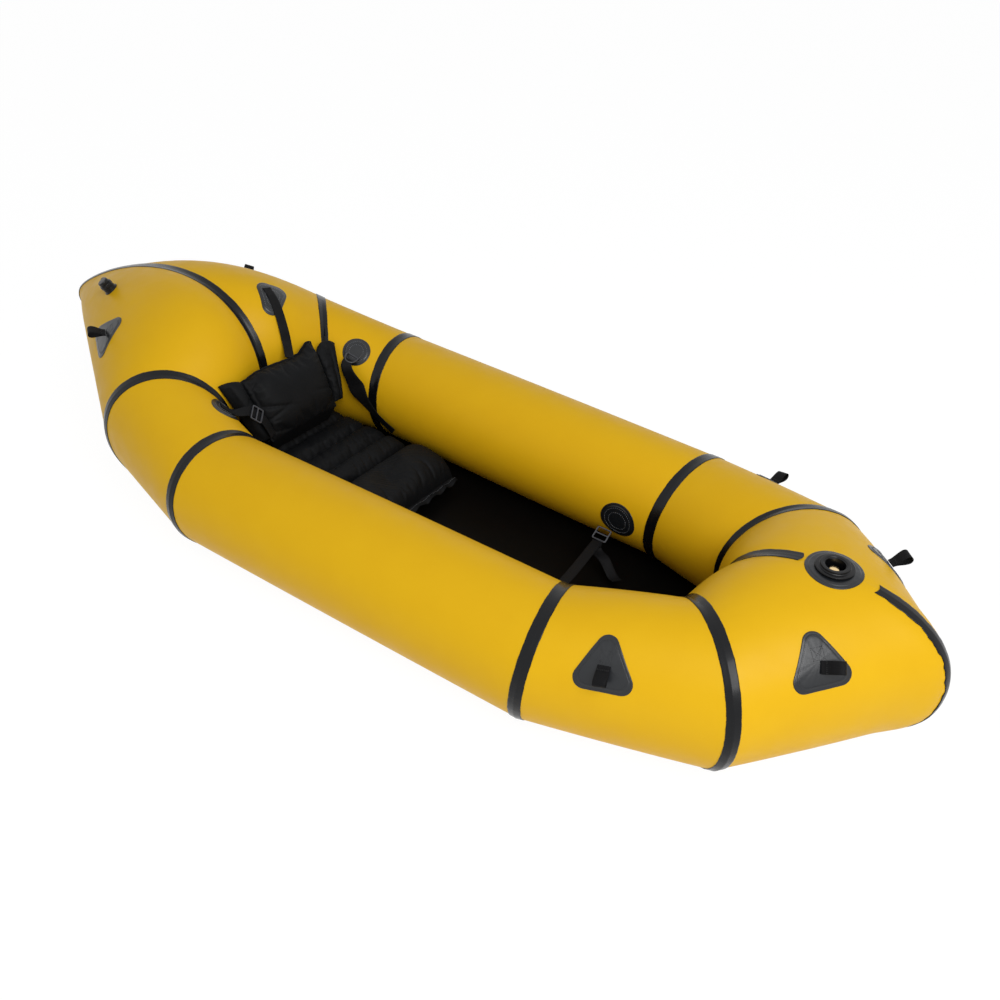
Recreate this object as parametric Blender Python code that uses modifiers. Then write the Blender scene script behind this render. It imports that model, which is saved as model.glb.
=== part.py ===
"""A one-person packraft, inflated, with its seat and fittings.

Ten tube panels make one ring of air around a thin floor, and black tapes cover their seams.
X runs to the bow, Y to port and Z up, in metres. The origin is on the ground, under the
middle of the boat's length. A place on the hull is a station and an angle: stations 0 to 5
run along starboard from the stern seam to the bow seam, the same numbers below 0 run along
port, and the angle turns from outboard (0) over the top (90) to the cockpit side (180).
"""

import math
from dataclasses import dataclass

import bmesh
import bpy
from mathutils import Matrix, Vector

# Hull, along X: the straight side panels, then the panels before and behind them.
SIDE_LENGTH = 0.900
QUARTER_LENGTH = 0.244
SHOULDER_LENGTH = 0.293
STERN_LENGTH = 0.329
BOW_LENGTH = 0.158

# Tube axis at each seam: how far it is from the centre line, and how high.
SIDE_AFT_OFFSET = 0.327
SIDE_FORE_OFFSET = 0.309
QUARTER_OFFSET = 0.270
SHOULDER_OFFSET = 0.222
QUARTER_HEIGHT = 0.169
SHOULDER_HEIGHT = 0.168
STERN_HEIGHT = 0.227
BOW_HEIGHT = 0.206

# Tube section at each seam: half width in the seam's plane, rise over and drop under the axis.
SIDE_RADIUS = 0.140
SIDE_AFT_RISE = 0.135
QUARTER_HALF_WIDTH = 0.153
QUARTER_RISE = 0.164
SHOULDER_HALF_WIDTH = 0.162
SHOULDER_RISE = 0.159
SHOULDER_DROP = 0.161
STERN_HALF_LENGTH = 0.383
STERN_RISE = 0.203
STERN_DROP = 0.160
BOW_HALF_LENGTH = 0.230
BOW_RISE = 0.168
BOW_DROP = 0.157

# Seam planes: heading of the plane's normal from +X towards starboard, and its lean, in degrees.
QUARTER_HEADING = 46.6
SIDE_AFT_HEADING = 7.1
SIDE_FORE_HEADING = -10.7
SHOULDER_HEADING = -47.1
QUARTER_LEAN = 2.5
SIDE_AFT_LEAN = -2.6
SIDE_FORE_LEAN = 3.7
SHOULDER_LEAN = -0.7
STERN_TILT = -2.2
BOW_TILT = -3.0
STERN_TAPER_SHARE = 0.42
BOW_FULLNESS = 0.875

# How far air pushes each panel out half way along, and how far it arches the two ends up.
SIDE_SWELL_SHARE = 0.008
SHOULDER_SWELL_SHARE = 0.013
BOW_SWELL_SHARE = 0.034
STERN_ARCH = 0.048
BOW_ARCH = 0.005

# Fabric, tape and webbing.
FABRIC_THICKNESS = 0.0010
TAPE_WIDTH = 0.026
TAPE_THICKNESS = 0.0012
SEAM_GAP = 0.0040
SEAM_LIFT_SHARE = 1.05
CONTACT_GAP = 0.0003
PATCH_LIFT = 0.0009
PATCH_THICKNESS = 0.0014
WEBBING_WIDTH = 0.025
WEBBING_THICKNESS = 0.0016
STRAP_CLEARANCE = 0.0005
HULL_SIDES = 24
TAPE_BREAK_BEHIND = 0.009
TAPE_BREAK_AHEAD = 0.033

# Floor sheet.
FLOOR_THICKNESS = 0.0015
FLOOR_EDGE_ANGLE = 246.0
FLOOR_STERN_STATION = 0.60
FLOOR_BOW_STATION = 4.80
FLOOR_LIFT = 0.0008
FLOOR_ROWS_PER_PANEL = 2
FLOOR_COLUMNS = 4

# Tie-downs: a rounded triangle of fabric with a sewn webbing loop.
TIE_PATCH_HEIGHT = 0.103
TIE_PATCH_WIDTH = 0.106
TIE_PATCH_CORNER = 0.020
LOOP_LENGTH = 0.042
LOOP_EYE = 0.0140
LOOP_ROOT_SHARE = 1.1
LOOP_NECK_SHARE = 0.62
LOOP_NECK_WIDTH_SHARE = 0.72
TIE_DOWN_STATIONS = {"stern": 0.67, "shoulder": 3.388, "bow": 4.41}
TIE_DOWN_ANGLES = {"stern": 46.0, "shoulder": 43.0, "bow": 46.0}
LOOP_ROOT_DROPS = {"stern": 0.003, "shoulder": 0.005, "bow": 0.012}
LOOP_ROOT_RAISES = {"stern": (0.0, 0.0), "shoulder": (0.0, 0.0), "bow": (0.0004, 0.0)}
LOOP_LEANS = {"stern": (30.0, 30.0), "shoulder": (60.0, 30.0), "bow": (58.0, 18.0)}
LOOP_TURNS = {"stern": (0.0, 0.0), "shoulder": (0.0, 0.0), "bow": (75.0, 0.0)}

# Bow inflation valve.
BOW_VALVE_ANGLE = 96.5
BOW_VALVE_PATCH_RADIUS = 0.052
BOW_VALVE_FLANGE_RADIUS = 0.0375
BOW_VALVE_FLANGE_THICKNESS = 0.0035
BOW_VALVE_COLLAR_RADIUS = 0.0285
BOW_VALVE_COLLAR_HEIGHT = 0.0085
BOW_VALVE_BORE_RADIUS = 0.0195
BOW_VALVE_CUP_RADIUS = 0.0225
BOW_VALVE_CUP_DEPTH = 0.0200
BOW_VALVE_CUP_FLOOR = 0.0030
BOW_VALVE_BOSS_RADIUS = 0.0070
BOW_VALVE_BOSS_HEIGHT = 0.0050
VALVE_HOLE_CLEARANCE = 0.0015
STEM_RADIUS = 0.0040
STEM_HEAD_RADIUS = 0.0105
STEM_HEAD_THICKNESS = 0.0030
STEM_TRAVEL = 0.0040
STEM_REST_CLEARANCE = 0.0006

# Stern top-up valve, a stack of four turned pieces on one axis.
STERN_VALVE_STATION = 0.35
STERN_VALVE_ANGLE = 56.0
STERN_VALVE_SINK = 0.0018
STERN_VALVE_FLANGE_RADIUS = 0.0190
STERN_VALVE_FLANGE_THICKNESS = 0.0035
STERN_VALVE_SOCKET_RADIUS = 0.0160
STERN_VALVE_SOCKET_HEIGHT = 0.0110
STERN_VALVE_CORE_RADIUS = 0.0112
STERN_VALVE_CORE_DISC_RADIUS = 0.0152
STERN_VALVE_CORE_DISC_THICKNESS = 0.0030
STERN_VALVE_RING_RADIUS = 0.0172
STERN_VALVE_RING_HEIGHT = 0.0080
STERN_VALVE_RING_RIBS = 12
STERN_VALVE_RIB_DEPTH = 0.0012
STERN_VALVE_CAP_RADIUS = 0.0140
STERN_VALVE_CAP_HEIGHT = 0.0100
CAP_SPIGOT_RADIUS = 0.0070
CAP_SPIGOT_LENGTH = 0.0060
EYELET_RADIUS = 0.0042
EYELET_WIRE_RADIUS = 0.0013
RUNNING_CLEARANCE = 0.0004

# Seat: a cushion of sewn channels and a thicker front bolster on the floor.
SEAT_SETBACK = 0.1475
SEAT_CHANNELS = 4
SEAT_CHANNEL_PITCH = 0.0750
SEAT_HEIGHT = 0.080
SEAT_CHANNEL_DEPTH = 0.018
SEAT_TUBE_CLEARANCE = 0.012
BOLSTER_LENGTH = 0.155
BOLSTER_HEIGHT = 0.098
BOLSTER_DIMPLE_DEPTH = 0.016
SEAT_FLANGE_WIDTH = 0.020
SEAT_FLANGE_THICKNESS = 0.0030
SEAT_FLANGE_RUFFLE = 0.0030
SEAT_FLANGE_RUFFLES = 7
CUSHION_GAP = 0.0008
SEAT_RIM_SHARE = 0.4
BOLSTER_RIM_SHARE = 0.35
UNDERSIDE_FULL_SHARE = 1.4

# How square the crowns of the cushions are: higher is fuller up to the edge.
SOFT_SHARPNESS = 3.0
SEAT_SIDE_SHARPNESS = 6.0
SEAT_END_SHARPNESS = 10.0
SEAT_GROOVE_SHARPNESS = 20.0
FLAP_SHARPNESS = 12.0
DIMPLE_SHARPNESS = 30

# Backrest: a pillow on a fabric hinge, with a wing at each side.
BACKREST_HINGE_SETBACK = 0.0750
BACKREST_FLAP_HEIGHT = 0.046
BACKREST_FLAP_REACH = 0.025
BACKREST_HEIGHT = 0.152
BACKREST_RECLINE = 0.091
BACKREST_TOP_WIDTH = 0.254
BACKREST_FLAP_WIDTH = 0.228
BACKREST_BULGE = 0.038
BACKREST_FLAP_THICKNESS = 0.008
BACKREST_CORNER_PEAK = 0.016
BACKREST_FLAP_SHARE = 0.2
FLAP_FULL_SHARE = 1.3
HEAD_DIP_SHARE = 0.5
WING_TOP_WIDTH = 0.056
WING_BOTTOM_WIDTH = 0.029
WING_HEIGHT = 0.143
WING_BULGE = 0.018
WING_SWEEPS = {"starboard": 0.018, "port": -0.004}
WING_WIDENINGS = {"starboard": -0.003, "port": 0.014}
WING_LIFTS = {"starboard": 0.009, "port": -0.008}

# Straps, patches and hardware around the seat.
SIDE_PATCH_SETBACKS = {"starboard": 0.1463, "port": 0.1060}
SIDE_PATCH_ANGLE = 133.0
SIDE_PATCH_RADIUS = 0.038
SIDE_STRAP_WIDTH = 0.030
SIDE_STRAP_BOW = 0.012
SEAT_STRAP_RUN = 0.240
SEAT_STRAP_HEIGHT = 0.012
D_RING_WIDTH = 0.034
D_RING_DEPTH = 0.026
D_RING_WIRE_RADIUS = 0.0020
D_RING_LEAN = 62.0
D_RING_DROP = 0.014
REAR_PATCH_STATION = 0.49
REAR_PATCH_ANGLE = 131.0
REAR_PATCH_LENGTH = 0.100
REAR_PATCH_WIDTH = 0.084
REAR_PATCH_CORNER = 0.017
REAR_STRAP_START = 8.0
REAR_STRAP_END_SHARE = 0.36
REAR_STRAP_TUCK = 0.0031
REAR_STRAP_COURSE = ((0, 1.1), (10, 1.1), (24, 1.4), (32, 2), (42, 3.2))
BUCKLE_LENGTH = 0.034
BUCKLE_OUTER_WIDTH = 0.038
BUCKLE_BAR = 0.0032
BUCKLE_HEIGHT = 0.0034
LADDER_LOCK_HEIGHT_SHARE = 0.56
LADDER_LOCK_STANDOFF = 0.030
LADDER_LOCK_CLEARANCE = 0.0014
STRAP_FOOT_HEIGHT_SHARE = 0.16

# Foot strap near the bow, its two patches and its ladder lock.
FOOT_PATCH_STATION = 2.90
FOOT_PATCH_ANGLE = 185.0
FOOT_PATCH_RADIUS = 0.046
FOOT_BUCKLE_STATION = 2.868
FOOT_BUCKLE_ANGLE = 199.0
FOOT_STRAP_SAG = 0.014
FOOT_TAIL_LEAD = 0.014
FOOT_TAIL_RUN = 0.085
FOOT_TAIL_REACH = 0.050
FOOT_TAIL_CLEARANCE = 0.006
FOOT_TAIL_TILT_SHARE = 0.35
FOOT_TAIL_FOLD = 0.010

# Rounding and sampling of the small pieces.
SMALL_EDGE = 0.0006
TURN_STEPS = 20
STRAP_STEPS = 7
PATCH_SIDES = 18
SMALL_SHARE = 0.002
PROJECTION_STEPS = 4

TUBE_YELLOW = (0.78, 0.44, 0.02, 1.0)
TAPE_BLACK = (0.020, 0.020, 0.022, 1.0)
WEBBING_BLACK = (0.012, 0.012, 0.012, 1.0)
SEAT_BLACK = (0.016, 0.016, 0.017, 1.0)
HARDWARE_GREY = (0.10, 0.10, 0.105, 1.0)
VALVE_BLACK = (0.018, 0.018, 0.019, 1.0)
STEM_GOLD = (0.75, 0.60, 0.35, 1.0)

STERN, QUARTER, SIDE_AFT, SIDE_FORE, SHOULDER, BOW = range(6)
SIDES = {"starboard": 1, "port": -1}
PANELS = ("stern", "quarter", "side", "shoulder", "bow")
PANEL_ROW_COUNTS = {"stern": 4, "quarter": 1, "side": 2, "shoulder": 2, "bow": 3}


@dataclass(frozen=True)
class Seam:
    """A seam ring across a tube on the starboard side."""

    centre: Vector
    half_width: float
    rise: float
    drop: float
    heading: float
    lean: float

    def point(self, angle):
        """Return the point of the ring at an angle, in radians, from outboard."""
        heading = math.radians(-self.heading)
        lean = math.radians(self.lean)
        along = Vector((math.cos(heading), math.sin(heading), 0))
        outboard = Vector((along.y, -along.x, 0))
        height = (self.rise if math.sin(angle) > 0 else self.drop) * math.sin(angle)
        sideways = outboard * math.cos(angle) * self.half_width
        return self.centre + sideways + along * height * math.tan(lean) + Vector((0, 0, height))


@dataclass(frozen=True)
class CentreSeam:
    """The seam ring where port and starboard meet, in the plane Y = 0."""

    centre: Vector
    outward: int
    half_length: float
    rise: float
    drop: float
    taper: float
    fullness: float
    tilt: float

    def point(self, angle):
        """Return the point of the ring at an angle, in radians, from its outer end."""
        def full(value):
            return math.copysign(abs(value) ** self.fullness, value)

        reach = self.half_length * full(math.cos(angle))
        rise = self.rise if math.sin(angle) > 0 else self.drop
        height = rise * full(math.sin(angle)) * (1 - self.taper * math.cos(angle))
        turned = Matrix.Rotation(math.radians(self.tilt), 3, "Y") @ Vector((self.outward * reach, 0, height))
        return self.centre + turned


def seam_rings():
    """Return the six seams of the starboard half: middle at X = 0, and tapes down to the ground."""
    bow_x = SIDE_LENGTH + SHOULDER_LENGTH + BOW_LENGTH
    stern_x = -QUARTER_LENGTH - STERN_LENGTH
    middle = (bow_x + BOW_HALF_LENGTH + stern_x - STERN_HALF_LENGTH) / 2
    ground = (CONTACT_GAP + TAPE_THICKNESS) * SEAM_LIFT_SHARE

    def at(x, offset, height):
        return Vector((x - middle, -offset, height + ground))

    return (
        CentreSeam(at(stern_x, 0, STERN_HEIGHT), -1, STERN_HALF_LENGTH, STERN_RISE, STERN_DROP,
                   STERN_TAPER_SHARE, 1.0, STERN_TILT * -1),
        Seam(at(-QUARTER_LENGTH, QUARTER_OFFSET, QUARTER_HEIGHT), QUARTER_HALF_WIDTH, QUARTER_RISE,
             QUARTER_HEIGHT, QUARTER_HEADING, QUARTER_LEAN),
        Seam(at(0, SIDE_AFT_OFFSET, SIDE_RADIUS), SIDE_RADIUS, SIDE_AFT_RISE, SIDE_RADIUS,
             SIDE_AFT_HEADING, SIDE_AFT_LEAN),
        Seam(at(SIDE_LENGTH, SIDE_FORE_OFFSET, SIDE_RADIUS), SIDE_RADIUS, SIDE_RADIUS, SIDE_RADIUS,
             SIDE_FORE_HEADING, SIDE_FORE_LEAN),
        Seam(at(SIDE_LENGTH + SHOULDER_LENGTH, SHOULDER_OFFSET, SHOULDER_HEIGHT), SHOULDER_HALF_WIDTH,
             SHOULDER_RISE, SHOULDER_DROP, SHOULDER_HEADING, SHOULDER_LEAN),
        CentreSeam(at(bow_x, 0, BOW_HEIGHT), 1, BOW_HALF_LENGTH, BOW_RISE, BOW_DROP, 0.0,
                   BOW_FULLNESS, BOW_TILT * -1),
    )


SEAMS = seam_rings()
SWELL_SHARES = (0.0, 0.0, SIDE_SWELL_SHARE, SHOULDER_SWELL_SHARE, BOW_SWELL_SHARE)
ARCHES = (STERN_ARCH, 0.0, 0.0, 0.0, BOW_ARCH)


def skin_point(station, angle):
    """Return the point of the air-tight skin at a station and an angle in radians."""
    if station > BOW:
        station -= 2 * BOW
    if station < -BOW:
        station += 2 * BOW
    first = min(int(abs(station)), BOW - 1)
    share = abs(station) - first
    swell = 4 * share * (1 - share)
    point = SEAMS[first].point(angle).lerp(SEAMS[first + 1].point(angle), share)
    middle = SEAMS[first].centre.lerp(SEAMS[first + 1].centre, share)
    point += (point - middle) * SWELL_SHARES[first] * swell
    point.z += ARCHES[first] * swell
    if station < 0:
        point.y = -point.y
    return point


def skin_slopes(station, angle, side=0):
    """Return how the skin runs along and around at a place, or just before or after it."""
    before = station - SMALL_SHARE * (side <= 0)
    after = station + SMALL_SHARE * (side >= 0)
    along = (skin_point(after, angle) - skin_point(before, angle)) / (after - before)
    around = skin_point(station, angle + SMALL_SHARE) - skin_point(station, angle - SMALL_SHARE)
    return along, around / (2 * SMALL_SHARE)


def lifted(station, angle, lift):
    """Return the point at a height over the skin; over a seam, over both panels that meet there."""
    normals = []
    for side in (-1, 1):
        along, around = skin_slopes(station, angle, side)
        normals.append(along.cross(around).normalized())
    between = (normals[0] + normals[1]).normalized()
    return skin_point(station, angle) + between * lift / between.dot(normals[0])


def hull_frame(station, degrees, lift=0.0):
    """Return the frame on the hull: X to the next station, Y around, Z out of the skin."""
    angle = math.radians(degrees)
    along, around = skin_slopes(station, angle)
    out = along.cross(around).normalized()
    across = out.cross(along).normalized()
    frame = Matrix((across.cross(out), across, out)).transposed().to_4x4()
    frame.translation = lifted(station, angle, lift)
    return frame


def spread(station, degrees, along, around, lift):
    """Return the point over the skin that lies at (along, around) in a place's own frame."""
    inverse = hull_frame(station, degrees).inverted()
    turn_back = inverse.to_3x3()
    side = 1 if along > 0 else -1
    angle = math.radians(degrees)
    for _ in range(PROJECTION_STEPS):
        here = inverse @ skin_point(station, angle)
        a, b = (turn_back @ slope for slope in skin_slopes(station, angle, side))
        error_x, error_y = along - here.x, around - here.y
        determinant = a.x * b.y - a.y * b.x
        station += (error_x * b.y - error_y * b.x) / determinant
        angle += (error_y * a.x - error_x * a.y) / determinant
    return lifted(station, angle, lift)


# Materials and objects.

def material(name, colour, roughness, metallic=0.0):
    """Make a plain surface for one kind of stuff."""
    made = bpy.data.materials.new(name)
    made.use_nodes = True
    surface = made.node_tree.nodes["Principled BSDF"]
    surface.inputs["Base Color"].default_value = colour
    surface.inputs["Roughness"].default_value = roughness
    surface.inputs["Metallic"].default_value = metallic
    return made


def clear_scene():
    """Empty the scene and return the collections for the boat and for its cutters."""
    for item in list(bpy.data.objects):
        bpy.data.objects.remove(item, do_unlink=True)
    collections = []
    for name in ("packraft", "cutters"):
        collection = bpy.data.collections.new(name)
        bpy.context.scene.collection.children.link(collection)
        collections.append(collection)
    return collections


BOAT, CUTTERS = clear_scene()
SKIN = material("tube_fabric", TUBE_YELLOW, 0.45)
TAPE = material("seam_tape", TAPE_BLACK, 0.40)
PATCH = material("patch_fabric", TAPE_BLACK, 0.45)
FLOOR = material("floor_fabric", WEBBING_BLACK, 0.60)
WEBBING = material("webbing", WEBBING_BLACK, 0.75)
CLOTH = material("seat_fabric", SEAT_BLACK, 0.80)
PLASTIC = material("buckle_plastic", HARDWARE_GREY, 0.40)
VALVE = material("valve_plastic", VALVE_BLACK, 0.35)
METAL = material("valve_stem", STEM_GOLD, 0.30, 1.0)


def add_object(name, data, surface, place=None, collection=BOAT):
    """Put a mesh or a curve in the scene under its name."""
    made = bpy.data.objects.new(name, data)
    data.materials.append(surface)
    if place is not None:
        made.matrix_world = place
    collection.objects.link(made)
    return made


def smooth(made, degrees=35.0):
    """Shade a mesh smooth but for its sharp edges."""
    made.data.shade_smooth()
    made.data.set_sharp_from_angle(angle=math.radians(degrees))
    return made


def thicken(made, thickness, offset):
    """Give an open surface its thickness: offset 1 builds outward, -1 inward."""
    solidify = made.modifiers.new("thickness", "SOLIDIFY")
    solidify.thickness = thickness
    solidify.offset = offset
    solidify.use_even_offset = True
    return made


def as_mesh(made):
    """Turn a curve object into a mesh object with its caps welded."""
    graph = bpy.context.evaluated_depsgraph_get()
    mesh = bpy.data.meshes.new_from_object(made.evaluated_get(graph))
    work = bmesh.new()
    work.from_mesh(mesh)
    bmesh.ops.remove_doubles(work, verts=work.verts, dist=CONTACT_GAP * SMALL_SHARE)
    bmesh.ops.recalc_face_normals(work, faces=work.faces)
    work.to_mesh(mesh)
    work.free()
    solid = bpy.data.objects.new(made.name, mesh)
    solid.matrix_world = made.matrix_world.copy()
    name = made.name
    bpy.data.objects.remove(made, do_unlink=True)
    solid.name = name
    BOAT.objects.link(solid)
    return solid


def fill_quad(work, corners, axis_point):
    """Split a quad along the diagonal that lies nearer the tube's axis, so it never stands out."""
    first = (corners[0].co + corners[2].co) / 2
    second = (corners[1].co + corners[3].co) / 2
    a, b, c, d = corners
    if (first - axis_point).length <= (second - axis_point).length:
        triangles = ((a, b, c), (a, c, d))
    else:
        triangles = ((a, b, d), (b, c, d))
    for triangle in triangles:
        work.faces.new(triangle)


def skin_surface(name, station_rows, angles, lift, closed, surface):
    """Make an open surface that follows the hull; each row holds a station for every angle."""
    mesh = bpy.data.meshes.new(name)
    work = bmesh.new()
    rows = [[work.verts.new(lifted(station, angle, lift)) for station, angle in zip(stations, angles)]
            for stations in station_rows]
    count = len(angles)
    for row, (low, high) in enumerate(zip(rows, rows[1:])):
        middle = sum((vertex.co for vertex in low + high), Vector()) / (2 * count)
        for column in range(count if closed else count - 1):
            following = (column + 1) % count
            corners = (low[column], high[column], high[following], low[following])
            fill_quad(work, corners, middle)
    work.to_mesh(mesh)
    work.free()
    return smooth(add_object(name, mesh, surface))


def ring_angles():
    """Return the angles of the hull's lengthwise edges."""
    return [2 * math.pi * side / HULL_SIDES for side in range(HULL_SIDES)]


# Hull panels, seam tapes and floor.

def beside_seam(seam, side, distance, angles):
    """Return the row of stations that runs beside a seam, at one distance from it all round."""
    return [seam + side * distance / skin_slopes(seam, angle, side)[0].length for angle in angles]


def mirrored_rows(rows, sign):
    """Return the rows for a side of the boat, still ordered by station."""
    if sign > 0:
        return rows
    return [[-station for station in stations] for stations in reversed(rows)]


def panel_rows(first):
    """Return a panel's rows: short of each seam, at each tape's edge and evenly between."""
    angles = ring_angles()
    start, end = first, first + 1
    low = beside_seam(start, 1, TAPE_WIDTH / 2, angles)
    high = beside_seam(end, -1, TAPE_WIDTH / 2, angles)
    steps = PANEL_ROW_COUNTS[PANELS[first]]
    between = [[a + (b - a) * row / steps for a, b in zip(low, high)] for row in range(steps + 1)]
    return ([beside_seam(start, 1, SEAM_GAP / 2, angles)] + between
            + [beside_seam(end, -1, SEAM_GAP / 2, angles)])


def add_panels():
    """Make the ten tube panels as thin open-ended skins."""
    made = {}
    for first, kind in enumerate(PANELS):
        for side, sign in SIDES.items():
            name = f"{kind}_panel_{side}"
            rows = mirrored_rows(panel_rows(first), sign)
            made[name] = thicken(skin_surface(name, rows, ring_angles(), 0.0, True, SKIN),
                                 FABRIC_THICKNESS, -1)
    return made


def tape_rows(seam, angles):
    """Return a tape's three rows: its two edges and the seam between them."""
    return [beside_seam(seam, -1, TAPE_WIDTH / 2, angles), [seam] * len(angles),
            beside_seam(seam, 1, TAPE_WIDTH / 2, angles)]


def add_tapes():
    """Make the seam tapes; the bow's centre tape stops short of the valve patch on both sides."""
    for seam, kind in ((QUARTER, "quarter"), (SIDE_AFT, "side_aft"), (SIDE_FORE, "side_fore"),
                       (SHOULDER, "shoulder")):
        for side, sign in SIDES.items():
            rows = mirrored_rows(tape_rows(seam, ring_angles()), sign)
            tape = skin_surface(f"{kind}_tape_{side}", rows, ring_angles(), CONTACT_GAP, True, TAPE)
            thicken(tape, TAPE_THICKNESS, 1)
    rows = tape_rows(STERN, ring_angles())
    tape = skin_surface("stern_centre_tape", rows, ring_angles(), CONTACT_GAP, True, TAPE)
    thicken(tape, TAPE_THICKNESS, 1)
    valve = math.radians(BOW_VALVE_ANGLE)
    speed = skin_slopes(BOW, valve)[1].length
    start = valve + (BOW_VALVE_PATCH_RADIUS + TAPE_BREAK_BEHIND) / speed
    end = valve + 2 * math.pi - (BOW_VALVE_PATCH_RADIUS + TAPE_BREAK_AHEAD) / speed
    angles = [start] + [turn for turn in tape_turns() if start < turn < end] + [end]
    tape = skin_surface("bow_centre_tape", tape_rows(BOW, angles), angles, CONTACT_GAP, False, TAPE)
    thicken(tape, TAPE_THICKNESS, 1)


def tape_turns():
    """Return the hull's edge angles over two turns, for a tape that starts past zero."""
    return ring_angles() + [angle + 2 * math.pi for angle in ring_angles()]


def floor_edge(station):
    """Return the floor's edge point on starboard, against the seam tapes."""
    return lifted(station, math.radians(FLOOR_EDGE_ANGLE), FLOOR_LIFT)


def add_floor():
    """Make the floor sheet between the undersides of the two sides."""
    between = [row / FLOOR_ROWS_PER_PANEL for row in range(2 * FLOOR_ROWS_PER_PANEL * BOW)]
    inner = [station for station in between if FLOOR_STERN_STATION < station < FLOOR_BOW_STATION]
    stations = [FLOOR_STERN_STATION] + inner + [FLOOR_BOW_STATION]
    mesh = bpy.data.meshes.new("floor")
    work = bmesh.new()
    rows = []
    for station in stations:
        edge = floor_edge(station)
        shares = [2 * column / FLOOR_COLUMNS - 1 for column in range(FLOOR_COLUMNS + 1)]
        rows.append([work.verts.new(Vector((edge.x, -edge.y * share, edge.z))) for share in shares])
    for low, high in zip(rows, rows[1:]):
        for column in range(FLOOR_COLUMNS):
            work.faces.new((low[column], high[column], high[column + 1], low[column + 1]))
    work.to_mesh(mesh)
    work.free()
    return thicken(smooth(add_object("floor", mesh, FLOOR)), FLOOR_THICKNESS, -1)


# Patches and webbing on the hull.

def rounded_outline(corners, radius):
    """Return a closed outline around corner circles, anticlockwise, with its sides split in three."""
    outline = []
    count = len(corners)
    for index, corner in enumerate(corners):
        before = corner - corners[index - 1]
        after = corners[(index + 1) % count] - corner
        start = math.atan2(-before.x, before.y)
        turn = (math.atan2(-after.x, after.y) - start) % (2 * math.pi)
        arc = [start + turn * step / 3 for step in range(4)]
        outline += [corner + Vector((math.cos(a), math.sin(a))) * radius for a in arc]
        following = corners[(index + 1) % count]
        last = outline[-1]
        first_next = following + (last - corner)
        outline += [last.lerp(first_next, 1 / 3), last.lerp(first_next, 2 / 3)]
    return outline


def triangle_outline(height, width, radius):
    """Return a rounded triangle, point up, around the origin."""
    half = width / 2 - radius
    top, bottom = height / 2 - radius, -height / 2 + radius
    return rounded_outline([Vector((-half, bottom)), Vector((half, bottom)), Vector((0, top))], radius)


def disc_outline(radius):
    """Return a circle of points."""
    turns = [2 * math.pi * side / PATCH_SIDES for side in range(PATCH_SIDES)]
    return [Vector((math.cos(turn), math.sin(turn))) * radius for turn in turns]


def add_patch(name, station, degrees, outline, rings=2):
    """Make a fabric patch that follows the skin around a place."""
    mesh = bpy.data.meshes.new(name)
    work = bmesh.new()
    hub = work.verts.new(spread(station, degrees, 0, 0, PATCH_LIFT))
    loops = []
    for ring in range(1, rings + 1):
        points = [point * ring / rings for point in outline]
        loops.append([work.verts.new(spread(station, degrees, p.x, p.y, PATCH_LIFT)) for p in points])
    count = len(outline)
    for side in range(count):
        work.faces.new((hub, loops[0][side], loops[0][(side + 1) % count]))
        for low, high in zip(loops, loops[1:]):
            following = (side + 1) % count
            work.faces.new((low[side], high[side], high[following]))
            work.faces.new((low[side], high[following], low[following]))
    work.to_mesh(mesh)
    work.free()
    return thicken(smooth(add_object(name, mesh, PATCH)), PATCH_THICKNESS, 1)


def flat_solid(name, outlines, depth, place, surface):
    """Make a solid of one thickness from closed outlines, the later ones being holes."""
    curve = bpy.data.curves.new(name, "CURVE")
    curve.dimensions = "2D"
    curve.fill_mode = "BOTH"
    curve.extrude = depth / 2
    for outline in outlines:
        spline = curve.splines.new("POLY")
        spline.points.add(len(outline) - 1)
        for point, position in zip(spline.points, outline):
            point.co = (position.x, position.y, 0, 1)
        spline.use_cyclic_u = True
    return as_mesh(add_object(name, curve, surface, place))


def loop_outline(margin):
    """Return a webbing loop's side view: a round root at the origin and an eye out along +X."""
    root = WEBBING_THICKNESS * LOOP_ROOT_SHARE - margin
    eye = LOOP_EYE / 2 + WEBBING_THICKNESS - margin
    tip = LOOP_LENGTH - margin
    centre = LOOP_LENGTH - LOOP_EYE / 2 - WEBBING_THICKNESS
    outline = []
    if margin == 0:
        outline += [Vector((math.cos(turn), math.sin(turn))) * root for turn in arc_turns(100, 260, 4)]
    else:
        outline.append(Vector((LOOP_LENGTH / 4, 0)))
    outline.append(Vector((centre * LOOP_NECK_SHARE, -eye * LOOP_NECK_WIDTH_SHARE)))
    outline += [Vector((centre + (tip - centre) * math.cos(turn), eye * math.sin(turn)))
                for turn in arc_turns(-90, 90, 7)]
    outline.append(Vector((centre * LOOP_NECK_SHARE, eye * LOOP_NECK_WIDTH_SHARE)))
    return outline


def arc_turns(start, end, steps):
    """Return evenly spaced angles in radians."""
    return [math.radians(start + (end - start) * step / steps) for step in range(steps + 1)]


def seat_height(thickness):
    """Return how high above the skin a piece of a thickness is centred when it lies on a patch."""
    return PATCH_LIFT + PATCH_THICKNESS + CONTACT_GAP + thickness / 2


def add_tie_downs():
    """Make the six tie-down patches and their loops, each loop turned on its root."""
    for kind, station in TIE_DOWN_STATIONS.items():
        for side, sign in SIDES.items():
            angle = TIE_DOWN_ANGLES[kind]
            outline = triangle_outline(TIE_PATCH_HEIGHT, TIE_PATCH_WIDTH, TIE_PATCH_CORNER)
            add_patch(f"{kind}_tie_patch_{side}", sign * station, angle, outline)
            place = loop_place(kind, sign)
            outlines = [loop_outline(0), loop_outline(WEBBING_THICKNESS)]
            flat_solid(f"{kind}_loop_{side}", outlines, WEBBING_WIDTH, place, WEBBING)


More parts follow.
